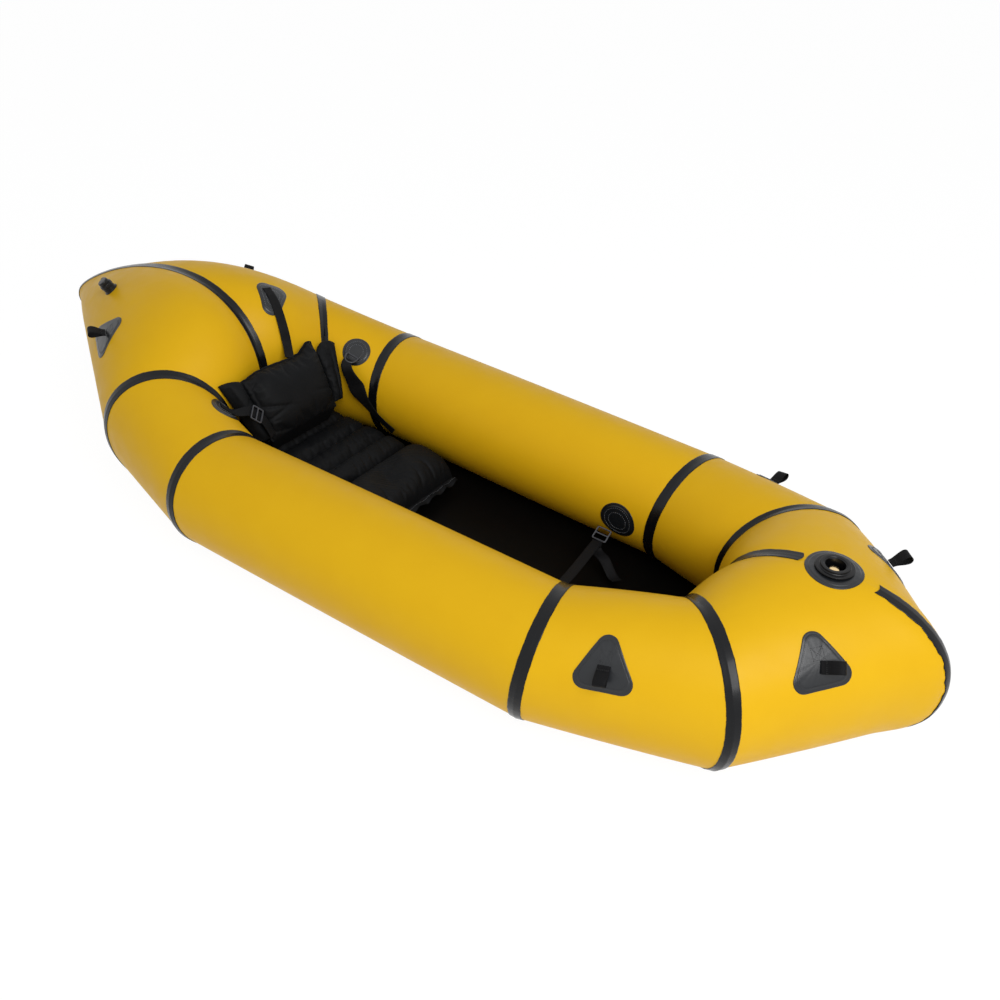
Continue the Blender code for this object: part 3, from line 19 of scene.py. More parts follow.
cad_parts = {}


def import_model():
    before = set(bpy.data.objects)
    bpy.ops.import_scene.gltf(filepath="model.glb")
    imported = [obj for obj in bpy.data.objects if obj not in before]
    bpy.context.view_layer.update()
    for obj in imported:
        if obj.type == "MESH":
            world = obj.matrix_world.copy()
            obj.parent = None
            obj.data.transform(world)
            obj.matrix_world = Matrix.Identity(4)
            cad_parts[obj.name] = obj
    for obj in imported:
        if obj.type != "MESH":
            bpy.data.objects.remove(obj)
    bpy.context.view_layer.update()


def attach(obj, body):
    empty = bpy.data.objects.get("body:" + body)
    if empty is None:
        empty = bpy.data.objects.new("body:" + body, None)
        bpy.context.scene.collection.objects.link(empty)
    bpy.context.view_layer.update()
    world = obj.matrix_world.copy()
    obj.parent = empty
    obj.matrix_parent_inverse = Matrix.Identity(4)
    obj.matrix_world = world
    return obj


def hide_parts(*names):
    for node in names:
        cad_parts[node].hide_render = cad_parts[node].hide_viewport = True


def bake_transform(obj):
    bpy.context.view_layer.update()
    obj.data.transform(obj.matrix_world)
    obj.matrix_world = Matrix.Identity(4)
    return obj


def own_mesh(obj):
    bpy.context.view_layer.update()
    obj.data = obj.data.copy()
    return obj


Array = np.ndarray
Item = bpy.types.Object
Tree = bpy.types.NodeTree
Socket = bpy.types.NodeSocket
Spot = tuple[float, float, float]
Profile = tuple[tuple[float, float], ...]
LOG = logging.getLogger("packraft")
HULL = "hull"
BACKREST = "backrest"
UP = np.array((0.0, 0.0, 1.0))
TINY = 1e-6

# Where the CAD has the fittings: the origin, the X axis and the side that Z is on.
FOOT_LOCK = ((0.44708, 0.15847, 0.08424), (0.0, -0.8575, -0.5145), (0.0, -0.5145, 0.8575))
SIDE_LOCK = ((-0.37776, -0.14231, 0.23337), (0.32, 0.6448, -0.6942), (0.821, 0.1769, 0.5428))
D_RING = ((-0.37704, 0.20585, 0.25469), (-0.9471, -0.163, 0.2766), (0.3059, -0.1968, 0.9315))


class Side(Enum):
    """A side of the boat, with the sign that its stations carry."""

    STARBOARD = 1
    PORT = -1

    @property
    def label(self) -> str:
        """Return the side's word in the nodes' names."""
        return self.name.lower()


class Corner(Enum):
    """The place of a tie-down along the hull."""

    STERN = "stern"
    SHOULDER = "shoulder"
    BOW = "bow"


class Slot(Enum):
    """The record's material slots."""

    TUBE = "tube_fabric"
    TAPE = "seam_tape"
    PATCH = "patch_fabric"
    FLOOR = "floor_fabric"
    WEBBING = "webbing"
    SEAT = "seat_fabric"
    BUCKLE = "buckle_plastic"
    VALVE = "valve_plastic"
    STEM = "valve_stem"


# Colours, nodes and meshes.

def linear(code: str) -> tuple[float, float, float, float]:
    """Turn an sRGB hex colour to linear light.

    Args:
        code: The colour as "#RRGGBB".

    Returns:
        Red, green, blue and an alpha of 1.
    """
    parts = [int(code[place:place + 2], 16) / 255 for place in (1, 3, 5)]
    lit = [part / 12.92 if part <= 0.04045 else ((part + 0.055) / 1.055) ** 2.4 for part in parts]
    return (*lit, 1.0)


def add_node(tree: Tree, kind: str, settings: dict[str, object] | None = None,
        links: dict[object, Socket] | None = None,
        values: dict[object, object] | None = None) -> bpy.types.Node:
    """Add one node to a tree.

    Args:
        tree: The tree that gets the node.
        kind: The node's type.
        settings: Attributes of the node itself.
        links: Sockets that feed its inputs, by input name or index.
        values: Constants on its inputs, by input name or index.

    Returns:
        The node.
    """
    node = tree.nodes.new(kind)
    for name, value in (settings or {}).items():
        setattr(node, name, value)
    for name, value in (values or {}).items():
        node.inputs[name].default_value = value
    for name, socket in (links or {}).items():
        tree.links.new(socket, node.inputs[name])
    return node


def new_item(name: str, points: Array, faces: Sequence[Sequence[int]], finish: "Finish",
        uvs: Array | None = None, sharp: float = 40.0) -> Item:
    """Make a smooth-shaded mesh object at the origin.

    Args:
        name: The object's name.
        points: One row of coordinates for each vertex.
        faces: Vertex numbers of each face.
        finish: What it is made of.
        uvs: One row of pattern coordinates for each vertex, in metres.
        sharp: The angle in degrees past which an edge stays sharp.

    Returns:
        The object.
    """
    mesh = bpy.data.meshes.new(name)
    mesh.from_pydata(np.asarray(points, float).reshape(-1, 3).tolist(), [], [list(f) for f in faces])
    if uvs is not None:
        layer = mesh.uv_layers.new(name="pattern")
        corners = np.empty(len(mesh.loops), int)
        mesh.loops.foreach_get("vertex_index", corners)
        layer.data.foreach_set("uv", np.asarray(uvs, float).reshape(-1, 2)[corners].ravel())
    return link_item(name, mesh, finish, sharp)


def link_item(name: str, mesh: bpy.types.Mesh, finish: "Finish", sharp: float = 40.0) -> Item:
    """Put a mesh in the scene with a finish, shaded smooth.

    Args:
        name: The object's name.
        mesh: Its mesh, in the boat's frame.
        finish: What it is made of.
        sharp: The angle in degrees past which an edge stays sharp.

    Returns:
        The object.
    """
    mesh.validate()
    mesh.update()
    mesh.shade_smooth()
    mesh.set_sharp_from_angle(angle=math.radians(sharp))
    mesh.materials.clear()
    mesh.materials.append(finish.material())
    return linked(name, mesh)


def linked(name: str, data: bpy.types.ID) -> Item:
    """Put a mesh, a curve, a lamp or a lens in the scene as an object, and return that."""
    item = bpy.data.objects.new(name, data)
    bpy.context.scene.collection.objects.link(item)
    return item


def evaluated(item: Item) -> bpy.types.Mesh:
    """Return an object's mesh as its modifiers leave it."""
    graph = bpy.context.evaluated_depsgraph_get()
    return bpy.data.meshes.new_from_object(item.evaluated_get(graph))


def grid_faces(rows: int, columns: int, closed: bool = False, start: int = 0,
        flip: bool = False) -> list[tuple[int, int, int, int]]:
    """Return the quads of a grid whose vertices run row by row.

    Args:
        rows: How many rows of vertices there are.
        columns: How many vertices there are in a row.
        closed: Whether each row joins up into a ring.
        start: The number of the first vertex.
        flip: Whether the faces point the other way.

    Returns:
        Four vertex numbers for each quad.
    """
    faces = []
    for row in range(rows - 1):
        for column in range(columns if closed else columns - 1):
            after = (column + 1) % columns
            a, b = start + row * columns + column, start + (row + 1) * columns + column
            c, d = start + (row + 1) * columns + after, start + row * columns + after
            faces.append((d, c, b, a) if flip else (a, b, c, d))
    return faces


def outward(mesh: bpy.types.Mesh, weld: float = 0.0) -> None:
    """Weld a closed mesh and turn its faces outward.

    Args:
        mesh: The mesh, changed in place.
        weld: How near two vertices are one.
    """
    work = bmesh.new()
    work.from_mesh(mesh)
    if weld:
        bmesh.ops.remove_doubles(work, verts=work.verts, dist=weld)
    bmesh.ops.recalc_face_normals(work, faces=work.faces)
    work.to_mesh(mesh)
    work.free()


def placed(points: Array, place: Matrix) -> Array:
    """Carry points from a piece's own frame into the boat's."""
    table = np.array(place)
    return np.asarray(points, float) @ table[:3, :3].T + table[:3, 3]


def axes_matrix(origin: Spot, x: Spot, z: Spot) -> Matrix:
    """Set up a piece's own frame.

    Args:
        origin: Where it starts.
        x: Its X axis.
        z: The side that its Z axis is on.

    Returns:
        The frame.
    """
    along = Vector(x).normalized()
    out = (Vector(z) - along * along.dot(Vector(z))).normalized()
    frame = Matrix((along, out.cross(along), out)).transposed().to_4x4()
    frame.translation = Vector(origin)
    return frame


def lathe(name: str, profile: Sequence[tuple[float, float]], place: Matrix, finish: "Finish",
        sides: int, sharp: float = 35.0, ripple: Callable[[Array, Array], Array] | None = None) -> Item:
    """Turn a profile around the Z axis of a frame into a closed piece.

    Args:
        name: The object's name.
        profile: Radius and height of each point, from the axis round to the axis.
        place: The piece's frame.
        finish: What it is made of.
        sides: How many flats go round.
        sharp: The angle in degrees past which an edge stays sharp.
        ripple: A share of the radius added at each turn and height.

    Returns:
        The object.
    """
    turns = full_turn(sides)
    radii, heights = (np.array(column)[:, None] + 0 * turns for column in zip(*profile))
    swell = 1.0 if ripple is None else 1 + ripple(turns + 0 * radii, heights)
    points = np.stack((radii * swell * np.cos(turns), radii * swell * np.sin(turns), heights), -1)
    if profile[0][0] > TINY:
        points = np.concatenate((points, points[:1]))
    faces = grid_faces(len(points), sides, True)
    item = new_item(name, placed(points.reshape(-1, 3), place), faces, finish, sharp=sharp)
    outward(item.data, TINY)
    item.data.set_sharp_from_angle(angle=math.radians(sharp))
    return item


def full_turn(count: int) -> Array:
    """Return evenly spaced angles once round."""
    return np.linspace(0, 2 * math.pi, count, endpoint=False)


def lengths_along(points: Array) -> Array:
    """Return how far each point of a broken line lies along it."""
    return np.concatenate(((0.0,), np.cumsum(np.linalg.norm(np.diff(points, axis=0), axis=1))))


def respaced(points: Array, count: int, last: bool = True) -> Array:
    """Space points evenly along a broken line.

    Args:
        points: The line's corners, one to a row.
        count: How many points to return.
        last: Whether the line's end is one of them.

    Returns:
        The points, one to a row.
    """
    run = lengths_along(points)
    even = np.linspace(0, run[-1], count, endpoint=last)
    return np.stack([np.interp(even, run, column) for column in points.T], -1)


def dense(points: Array, step: float = 0.002, closed: bool = True) -> Array:
    """Fill a broken line with points at an even step.

    Args:
        points: The line's corners, one to a row.
        step: How far apart the points lie.
        closed: Whether the line runs back to its first corner.

    Returns:
        The points, one to a row.
    """
    ring = np.concatenate((points, points[:1])) if closed else points
    return respaced(ring, max(2, int(lengths_along(ring)[-1] / step)))


def rounded_path(points: Sequence[Sequence[float]], count: int) -> Array:
    """Return evenly spaced points on a smooth curve through the given ones.

    Args:
        points: The points to pass through.
        count: How many points to return.

    Returns:
        The points, one to a row.
    """
    knots = np.asarray(points, float)
    at = lengths_along(knots)
    slopes = np.gradient(knots, at, axis=0)
    fine = np.linspace(0, at[-1], 40 * len(knots))
    index = np.clip(np.searchsorted(at, fine, side="right") - 1, 0, len(knots) - 2)
    width = (at[index + 1] - at[index])[:, None]
    t = (fine - at[index])[:, None] / width
    curve = (knots[index] * (1 + 2 * t) * (1 - t) ** 2 + slopes[index] * width * t * (1 - t) ** 2
        + knots[index + 1] * t * t * (3 - 2 * t) + slopes[index + 1] * width * t * t * (t - 1))
    return respaced(curve, count)


def directions(path: Array, closed: bool = False) -> Array:
    """Return the unit direction of a path at each of its points."""
    run = np.roll(path, -1, 0) - np.roll(path, 1, 0) if closed else np.gradient(path, axis=0)
    return run / np.linalg.norm(run, axis=1, keepdims=True)


def unit(values: Array) -> Array:
    """Return vectors scaled to length 1."""
    return values / np.maximum(np.linalg.norm(values, axis=-1, keepdims=True), 1e-12)


def swept(name: str, points: Array, uvs: Array | None, finish: "Finish", closed: bool, sharp: float) -> Item:
    """Join the sections of a sweep into a closed piece.

    Args:
        name: The object's name.
        points: The points of each section, sections by points.
        uvs: Their pattern coordinates, in metres.
        finish: What it is made of.
        closed: Whether the last section is the first one again; otherwise both ends are capped.
        sharp: The angle in degrees past which an edge stays sharp.

    Returns:
        The object.
    """
    rows, sides = points.shape[:2]
    faces = grid_faces(rows, sides, True)
    if not closed:
        faces += [tuple(range(sides)), tuple(range((rows - 1) * sides, rows * sides))]
    item = new_item(name, points, faces, finish, uvs, sharp)
    outward(item.data, TINY if closed else 0.0)
    return item


def tube(name: str, path: Array, radius: float, finish: "Finish", closed: bool = False,
        sides: int = 12) -> Item:
    """Sweep a round wire along a path.

    Args:
        name: The object's name.
        path: The middle of the wire, one point to a row.
        radius: Half the wire's thickness.
        finish: What it is made of.
        closed: Whether the path joins up.
        sides: How many flats go round the wire.

    Returns:
        The object.
    """
    runs = directions(path, closed)
    guide = unit(np.cross(runs, unit(np.cross(runs[0], runs[len(runs) // 3]) + TINY)))
    other = unit(np.cross(runs, guide))
    turns = full_turn(sides)[None, :, None]
    points = path[:, None] + (guide[:, None] * np.cos(turns) + other[:, None] * np.sin(turns)) * radius
    if closed:
        points = np.concatenate((points, points[:1]))
    return swept(name, points, None, finish, closed, 40.0)


def ribbon(name: str, path: Array, across: Array, width: float, thickness: float, finish: "Finish",
        swell: Array | float = 1.0) -> Item:
    """Sweep a flat strap along a path.

    Args:
        name: The object's name.
        path: The middle of the strap, one point to a row.
        across: The strap's width direction at each point.
        width: How wide the strap is.
        thickness: How thick it is.
        finish: What it is made of.
        swell: Its width at each point, as a share of the width given.

    Returns:
        The object, with a pattern map whose U runs along and V across.
    """
    runs = directions(path)
    across = unit(across - runs * np.sum(across * runs, -1, keepdims=True))
    normal = np.cross(runs, across)
    half, deep = width / 2, thickness / 2
    rim = deep * 0.55
    face = [(-half, -deep + rim), (-half, deep - rim), (-half + rim, deep)]
    face += [(half * share, deep) for share in (-0.6, -0.25, 0.25, 0.6)] + [(half - rim, deep)]
    section = np.array(face + [(-x, -y) for x, y in face])
    wide = np.broadcast_to(swell, len(path))[:, None, None]
    points = (path[:, None] + across[:, None] * section[None, :, :1] * wide
        + normal[:, None] * section[None, :, 1:])
    uvs = np.stack(np.broadcast_arrays(lengths_along(path)[:, None], section[None, :, 0]), -1)
    return swept(name, points, uvs, finish, False, 50.0)


def wander(values: Array, seed: float) -> Array:
    """Return a smooth uneven wave between about -1 and 1, the same on every run."""
    return (np.sin(values + seed * 1.7) + 0.7 * np.sin(values * 2.17 + seed * 3.1)
        + 0.5 * np.sin(values * 4.63 + seed * 5.3)) / 2.2


# Finishes.

@dataclass(frozen=True)
class Finish:
    """A surface: what it is made of, and the slot of the record that it fills."""

    name: str
    slot: Slot
    colour: str
    roughness: float
    shade: str = ""
    ior: float = 1.5
    metallic: float = 0.0
    coat: float = 0.0
    mottle: float = 0.05
    grain: float = 0.0006
    relief: float = 0.00005
    uneven: float = 0.06

    def material(self) -> bpy.types.Material:
        """Return the material, made once."""
        found = bpy.data.materials.get(self.name)
        if found is not None:
            return found
        made = bpy.data.materials.new(self.name)
        made.use_nodes = True
        made.diffuse_color = linear(self.colour)
        tree = made.node_tree
        shader = tree.nodes["Principled BSDF"]
        shader.inputs["Metallic"].default_value = self.metallic
        shader.inputs["Coat Weight"].default_value = self.coat
        shader.inputs["Coat Roughness"].default_value = 0.22
        if not self.metallic:
            shader.inputs["IOR"].default_value = self.ior
        self.dress(tree, shader)
        return made

    def dress(self, tree: Tree, shader: bpy.types.Node) -> None:
        """Give the shader its colour, roughness and relief.

        Args:
            tree: The material's tree.
            shader: Its surface shader.
        """
        place = add_node(tree, "ShaderNodeTexCoord").outputs["Object"]
        broad = add_node(tree, "ShaderNodeTexNoise", links={"Vector": place},
            values={"Scale": 1 / self.mottle, "Detail": 4.0, "Roughness": 0.6})
        tint = add_node(tree, "ShaderNodeMix", {"data_type": "RGBA"}, {"Factor": broad.outputs["Fac"]},
            {6: linear(self.colour), 7: linear(self.shade or self.colour)})
        tree.links.new(tint.outputs[2], shader.inputs["Base Color"])
        self.polish(tree, shader, place)
        height = self.weave(tree, place)
        bump = add_node(tree, "ShaderNodeBump", links={"Height": height},
            values={"Strength": 1.0, "Distance": self.relief})
        tree.links.new(bump.outputs["Normal"], shader.inputs["Normal"])

    def polish(self, tree: Tree, shader: bpy.types.Node, place: Socket) -> None:
        """Let the roughness drift around its value, as handling and dust leave it.

        Args:
            tree: The material's tree.
            shader: Its surface shader.
            place: Where on the piece a point is.
        """
        drift = add_node(tree, "ShaderNodeTexNoise", links={"Vector": place},
            values={"Scale": 28.0, "Detail": 5.0, "Roughness": 0.65})
        spread = add_node(tree, "ShaderNodeMapRange", links={"Value": drift.outputs["Fac"]},
            values={"From Min": 0.3, "From Max": 0.7, "To Min": self.roughness - self.uneven,
                    "To Max": self.roughness + self.uneven})
        tree.links.new(spread.outputs["Result"], shader.inputs["Roughness"])

    def weave(self, tree: Tree, place: Socket) -> Socket:
        """Add the height of the surface: a fine moulded or coated grain.

        Args:
            tree: The material's tree.
            place: Where on the piece a point is.

        Returns:
            The height.
        """
        noise = add_node(tree, "ShaderNodeTexNoise", links={"Vector": place},
            values={"Scale": 1 / self.grain, "Detail": 3.0, "Roughness": 0.55})
        return noise.outputs["Fac"]


@dataclass(frozen=True)
class CoatedFabric(Finish):
    """Nylon under a film of TPU: satin, with broad shallow drumming under the gloss."""

    drum: float = 0.055
    drum_relief: float = 6.0

    def weave(self, tree: Tree, place: Socket) -> Socket:
        """Add a fine thread grid under the coating, over broad slack patches. See Finish.weave."""
        grid = add_node(tree, "ShaderNodeTexVoronoi", {"distance": "CHEBYCHEV"}, {"Vector": place},
            {"Scale": 1 / self.grain, "Randomness": 0.25})
        slack = add_node(tree, "ShaderNodeTexNoise", links={"Vector": place},
            values={"Scale": 1 / self.drum, "Detail": 2.0, "Distortion": 0.6})
        swell = add_node(tree, "ShaderNodeMath", {"operation": "MULTIPLY"}, {0: slack.outputs["Fac"]},
            {1: self.drum_relief})
        both = add_node(tree, "ShaderNodeMath", {"operation": "ADD"},
            {0: swell.outputs[0], 1: grid.outputs["Distance"]})
        return both.outputs[0]


@dataclass(frozen=True)
class Woven(Finish):
    """A plain weave on the piece's object coordinates: crossed threads over slack creases."""

    thread_share: float = 0.35
    slack_scale: float = 22.0
    slack_relief: float = 30.0

    def weave(self, tree: Tree, place: Socket) -> Socket:
        """Add close square threads, over the cloth's small slack creases. See Finish.weave."""
        thread = add_node(tree, "ShaderNodeTexVoronoi", {"distance": "CHEBYCHEV"}, {"Vector": place},
            {"Scale": 1 / self.grain, "Randomness": 0.35})
        slack = add_node(tree, "ShaderNodeTexNoise", links={"Vector": place},
            values={"Scale": self.slack_scale, "Detail": 2.0, "Distortion": 0.3})
        swell = add_node(tree, "ShaderNodeMath", {"operation": "MULTIPLY"}, {0: slack.outputs["Fac"]},
            {1: self.slack_relief})
        total = add_node(tree, "ShaderNodeMath", {"operation": "MULTIPLY_ADD"},
            {0: thread.outputs["Distance"], 2: swell.outputs[0]}, {1: self.thread_share})
        return total.outputs[0]


@dataclass(frozen=True)
class Webbing(Finish):
    """Woven polyester strap: ribs along its length, crossed by its picks, on the strap's own map."""

    wave_length: float = 0.314
    rib_spacing: float = 1.6

    def weave(self, tree: Tree, place: Socket) -> Socket:
        """Add the strap's ribs and picks. See Finish.weave."""
        strap = add_node(tree, "ShaderNodeUVMap", {"uv_map": "pattern"}).outputs["UV"]
        picks = add_node(tree, "ShaderNodeTexWave", {"wave_type": "BANDS", "bands_direction": "X"},
            {"Vector": strap}, {"Scale": self.wave_length / self.grain, "Distortion": 0.3})
        ribs = add_node(tree, "ShaderNodeTexWave", {"wave_type": "BANDS", "bands_direction": "Y"},
            {"Vector": strap},
            {"Scale": self.wave_length / (self.grain * self.rib_spacing), "Distortion": 0.2})
        both = add_node(tree, "ShaderNodeMath", {"operation": "MULTIPLY"},
            {0: picks.outputs["Fac"], 1: ribs.outputs["Fac"]})
        return both.outputs[0]


# A grain is the spacing of threads or grit in metres. Real cloth's 0.3 to 0.5 mm is too fine to show,
# so the cloths' grains are drawn two to seven times as coarse.

# TPU-coated nylon, satin: broad soft highlights and a warm, slightly uneven yellow.
TUBE_FABRIC = CoatedFabric("TPU-coated nylon, satin yellow", Slot.TUBE, "#ECBA17", 0.45, "#E6B214",
    ior=1.24, mottle=0.09, grain=0.0016, relief=0.00004)
# Welded TPU tape, calendered: smooth near-black that catches slate highlights.
SEAM_TAPE = CoatedFabric("TPU seam tape, calendered black", Slot.TAPE, "#0E0F12", 0.27, "#0A0B0D",
    ior=1.31, coat=0.03, mottle=0.03, grain=0.0012, relief=0.00003, drum=0.02, drum_relief=3.0)
# Heavier coated patch cloth, welded: the same film over a coarser base.
PATCH_CLOTH = CoatedFabric("TPU patch cloth, welded black", Slot.PATCH, "#191C20", 0.32, "#141619",
    ior=1.46, coat=0.04, mottle=0.03, grain=0.0016, drum=0.025, drum_relief=2.5)
# Heavy coated floor fabric: dark brown-black, duller, with a visible thread.
FLOOR_CLOTH = CoatedFabric("TPU floor fabric, dull black", Slot.FLOOR, "#070605", 0.52, "#050403",
    ior=1.14, mottle=0.07, grain=0.0022, relief=0.00010, drum=0.06, drum_relief=5.0)
# Coated packcloth of the seat, plain weave: matt and nearly black, with slack creases.
SEAT_CLOTH = Woven("Coated packcloth, plain weave black", Slot.SEAT, "#111214", 0.60, "#0C0D0E",
    ior=1.19, mottle=0.03, grain=0.0011, relief=0.00003)
# Polyester webbing, woven flat: matt ribs.
STRAP_WEBBING = Webbing("Polyester webbing, woven black", Slot.WEBBING, "#0D0D0F", 0.62, "#09090A",
    ior=1.22, mottle=0.01, grain=0.0011, relief=0.00016)
# Acetal, moulded: even dark grey with a fine spark-eroded texture.
ACETAL = Finish("Acetal, moulded grey", Slot.BUCKLE, "#424348", 0.36, "#3A3B40", ior=1.44, mottle=0.02,
    grain=0.0005, relief=0.00003)
# Valve TPU, moulded: darker and glossier than the buckles.
VALVE_TPU = Finish("Valve TPU, moulded black", Slot.VALVE, "#0D0D0F", 0.32, "#09090A", ior=1.34,
    mottle=0.02, grain=0.0006, relief=0.00003)
# Brass, turned and lightly tarnished: warm metal.
STEM_BRASS = Finish("Brass, turned", Slot.STEM, "#FBE3B4", 0.24, "#EBC98C", metallic=1.0, mottle=0.006,
    grain=0.0004, relief=0.00002)
# Bonded polyester thread, black: round, slightly glossy.
DARK_THREAD = Finish("Bonded thread, black", Slot.WEBBING, "#101012", 0.50, mottle=0.004, grain=0.0003)
# Bonded polyester thread, grey: duller, a pale dotted line on the dark cloth.
PALE_THREAD = Finish("Bonded thread, grey", Slot.PATCH, "#8D8F94", 0.55, "#7A7C82", mottle=0.004,
    grain=0.0003)


def finish_item(item: Item, body: str, finish: Finish, *nodes: str) -> Item:
    """Let a finished piece ride on a body and stand for CAD nodes.

    Args:
        item: The piece.
        body: The CAD body that carries it.
        finish: Its finish; not used.
        nodes: The CAD nodes that it replaces.

    Returns:
        The piece.
    """
    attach(item, body)
    if nodes:
        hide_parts(*nodes)
    LOG.info("%s: %d faces on %s", item.name, len(item.data.polygons), body)
    return item


# The hull's skin.

@dataclass(frozen=True)
class SeamRing:
    """A seam across one tube: its centre, its section and how its plane stands."""

    centre: Spot
    half_width: float
    rise: float
    drop: float
    heading: float
    lean: float

    def points(self, angle: Array) -> Array:
        """Return the ring's points at angles in radians from outboard."""
        turn = math.radians(-self.heading)
        along = np.array((math.cos(turn), math.sin(turn), 0.0))
        outboard = np.array((along[1], -along[0], 0.0))
        height = (np.where(np.sin(angle) > 0, self.rise, self.drop) * np.sin(angle))[..., None]
        sideways = outboard * (np.cos(angle) * self.half_width)[..., None]
        return np.array(self.centre) + sideways + height * (math.tan(math.radians(self.lean)) * along + UP)


@dataclass(frozen=True)
class CentreRing:
    """The seam where port and starboard meet: a tall oval in the plane Y = 0."""

    centre: Spot
    outward: int
    half_length: float
    rise: float
    drop: float
    taper: float
    fullness: float
    tilt: float

    def points(self, angle: Array) -> Array:
        """Return the ring's points at angles in radians from its outer end."""
        cosine = np.sign(np.cos(angle)) * np.abs(np.cos(angle)) ** self.fullness
        sine = np.sign(np.sin(angle)) * np.abs(np.sin(angle)) ** self.fullness
        reach = self.outward * self.half_length * cosine
        height = np.where(np.sin(angle) > 0, self.rise, self.drop) * sine
        height = height * (1 - self.taper * np.cos(angle))
        c, s = math.cos(math.radians(self.tilt)), math.sin(math.radians(self.tilt))
        turned = np.stack((reach * c + height * s, 0 * reach, height * c - reach * s), -1)
        return np.array(self.centre) + turned


@dataclass(frozen=True)
class HullShape:
    """The air-tight skin, and the frames in which pieces lie on it."""

    rings: tuple[SeamRing | CentreRing, ...] = (
        CentreRing((-0.8855, 0.0, 0.228575), -1, 0.383, 0.203, 0.160, 0.42, 1.0, 2.2),
        SeamRing((-0.5565, -0.270, 0.170575), 0.153, 0.164, 0.169, 46.6, 2.5),
        SeamRing((-0.3125, -0.327, 0.141575), 0.140, 0.135, 0.140, 7.1, -2.6),
        SeamRing((0.5875, -0.309, 0.141575), 0.140, 0.140, 0.140, -10.7, 3.7),
        SeamRing((0.8805, -0.222, 0.169575), 0.162, 0.159, 0.161, -47.1, -0.7),
        CentreRing((1.0385, 0.0, 0.207575), 1, 0.230, 0.168, 0.157, 0.0, 0.875, 3.0))
    swells: tuple[float, ...] = (0.0, 0.0, 0.008, 0.013, 0.034)
    arches: tuple[float, ...] = (0.048, 0.0, 0.0, 0.0, 0.005)
    soft_stern: float = 0.08
    soft_bow: float = 0.24
    stern_pull: float = 0.062
    stern_pull_run: float = 0.20
    stern_pull_angle: float = 32.0
    stern_pull_spread: float = 40.0
    floor_run: tuple[float, float] = (0.60, 4.80)
    floor_angle: float = 246.0
    floor_lift: float = 0.0008
    valve_degrees: float = 96.5
    valve_hole: float = 0.0238
    step: float = 0.002
    refinements: int = 6

    def skin(self, station: Array, angle: Array) -> Array:
        """Find the skin's points; the two centre seams are rounded where the halves meet.

        Args:
            station: Where along the hull each point is.
            angle: Where round the tube it is, in radians.

        Returns:
            The points, with their coordinates last.
        """
        station, angle = np.broadcast_arrays(np.asarray(station, float), np.asarray(angle, float))
        station = (station + 5) % 10 - 5
        size = np.abs(station)
        first = np.minimum(size.astype(int), 4)
        share = size - first
        near = np.where(first == 0, share, np.where(first == 4, 1 - share, 1.0))
        soft_share = np.where(first == 0, self.soft_stern, self.soft_bow)
        eased = near - near * np.clip(1 - near / soft_share, 0, None) ** 2
        soft = np.where(first == 0, eased, np.where(first == 4, 1 - eased, share))
        rings = np.stack([ring.points(angle) for ring in self.rings])
        centres = np.array([ring.centre for ring in self.rings])
        low = np.take_along_axis(rings, first[None, ..., None], 0)[0]
        high = np.take_along_axis(rings, first[None, ..., None] + 1, 0)[0]
        shares = np.stack((soft, share, soft), -1)
        swell = np.stack([4 * value * (1 - value) for value in (soft, share, soft)], -1)
        point = low + (high - low) * shares
        middle = centres[first] + (centres[first + 1] - centres[first]) * shares
        point = point + (point - middle) * np.array(self.swells)[first][..., None] * swell
        point[..., 2] += np.array(self.arches)[first] * swell[..., 2]
        turn = ((np.degrees(angle) + 180) % 360 - 180 - self.stern_pull_angle) / self.stern_pull_spread
        pull = self.stern_pull * np.exp(-turn ** 2 - (size / self.stern_pull_run) ** 2)
        point = point - (point - middle) * pull[..., None]
        point[..., 1] = np.where(station < 0, -point[..., 1], point[..., 1])
        return point

    def slopes(self, station: Array, angle: Array) -> tuple[Array, Array]:
        """Find how the skin runs.

        Args:
            station: Where along the hull each point is.
            angle: Where round the tube it is, in radians.

        Returns:
            Its slope along the hull, and its slope around the tube.
        """
        h = self.step
        along = (self.skin(station + h, angle) - self.skin(station - h, angle)) / (2 * h)
        around = (self.skin(station, angle + h) - self.skin(station, angle - h)) / (2 * h)
        return along, around

    def normals(self, station: Array, angle: Array) -> Array:
        """Return the outward direction of the skin."""
        return unit(np.cross(*self.slopes(station, angle)))

    def lifted(self, station: Array, angle: Array, lift: Array | float) -> Array:
        """Return points at a height over the skin."""
        return self.skin(station, angle) + self.normals(station, angle) * np.asarray(lift)[..., None]

    def frame(self, station: float, degrees: float) -> tuple[Array, Array]:
        """Set up the frame of a place on the skin.

        Args:
            station: The place's station.
            degrees: Its angle.

        Returns:
            Its origin and its axes, as columns: X to the next station, Z out.
        """
        s, a = np.array(station, float), np.array(math.radians(degrees))
        along, _ = self.slopes(s, a)
        out = self.normals(s, a)
        y = unit(np.cross(out, along))
        return self.skin(s, a), np.stack((np.cross(y, out), y, out), -1)

    def spread(self, station: float, degrees: float, flat: Array) -> tuple[Array, Array]:
        """Find the stations and angles of points given flat in a place's own frame.

        Args:
            station: The place's station.
            degrees: The place's angle.
            flat: The points' distances along and around, in metres.

        Returns:
            The points' stations and their angles in radians.
        """
        origin, axes = self.frame(station, degrees)
        stations = np.full(len(flat), float(station))
        angles = np.full(len(flat), math.radians(degrees))
        for _ in range(self.refinements):
            here = (self.skin(stations, angles) - origin) @ axes
            along, around = (slope @ axes for slope in self.slopes(stations, angles))
            error = flat - here[:, :2]
            scale = along[:, 0] * around[:, 1] - along[:, 1] * around[:, 0]
            stations = stations + (error[:, 0] * around[:, 1] - error[:, 1] * around[:, 0]) / scale
            angles = angles + (error[:, 1] * along[:, 0] - error[:, 0] * along[:, 1]) / scale
        return stations, angles

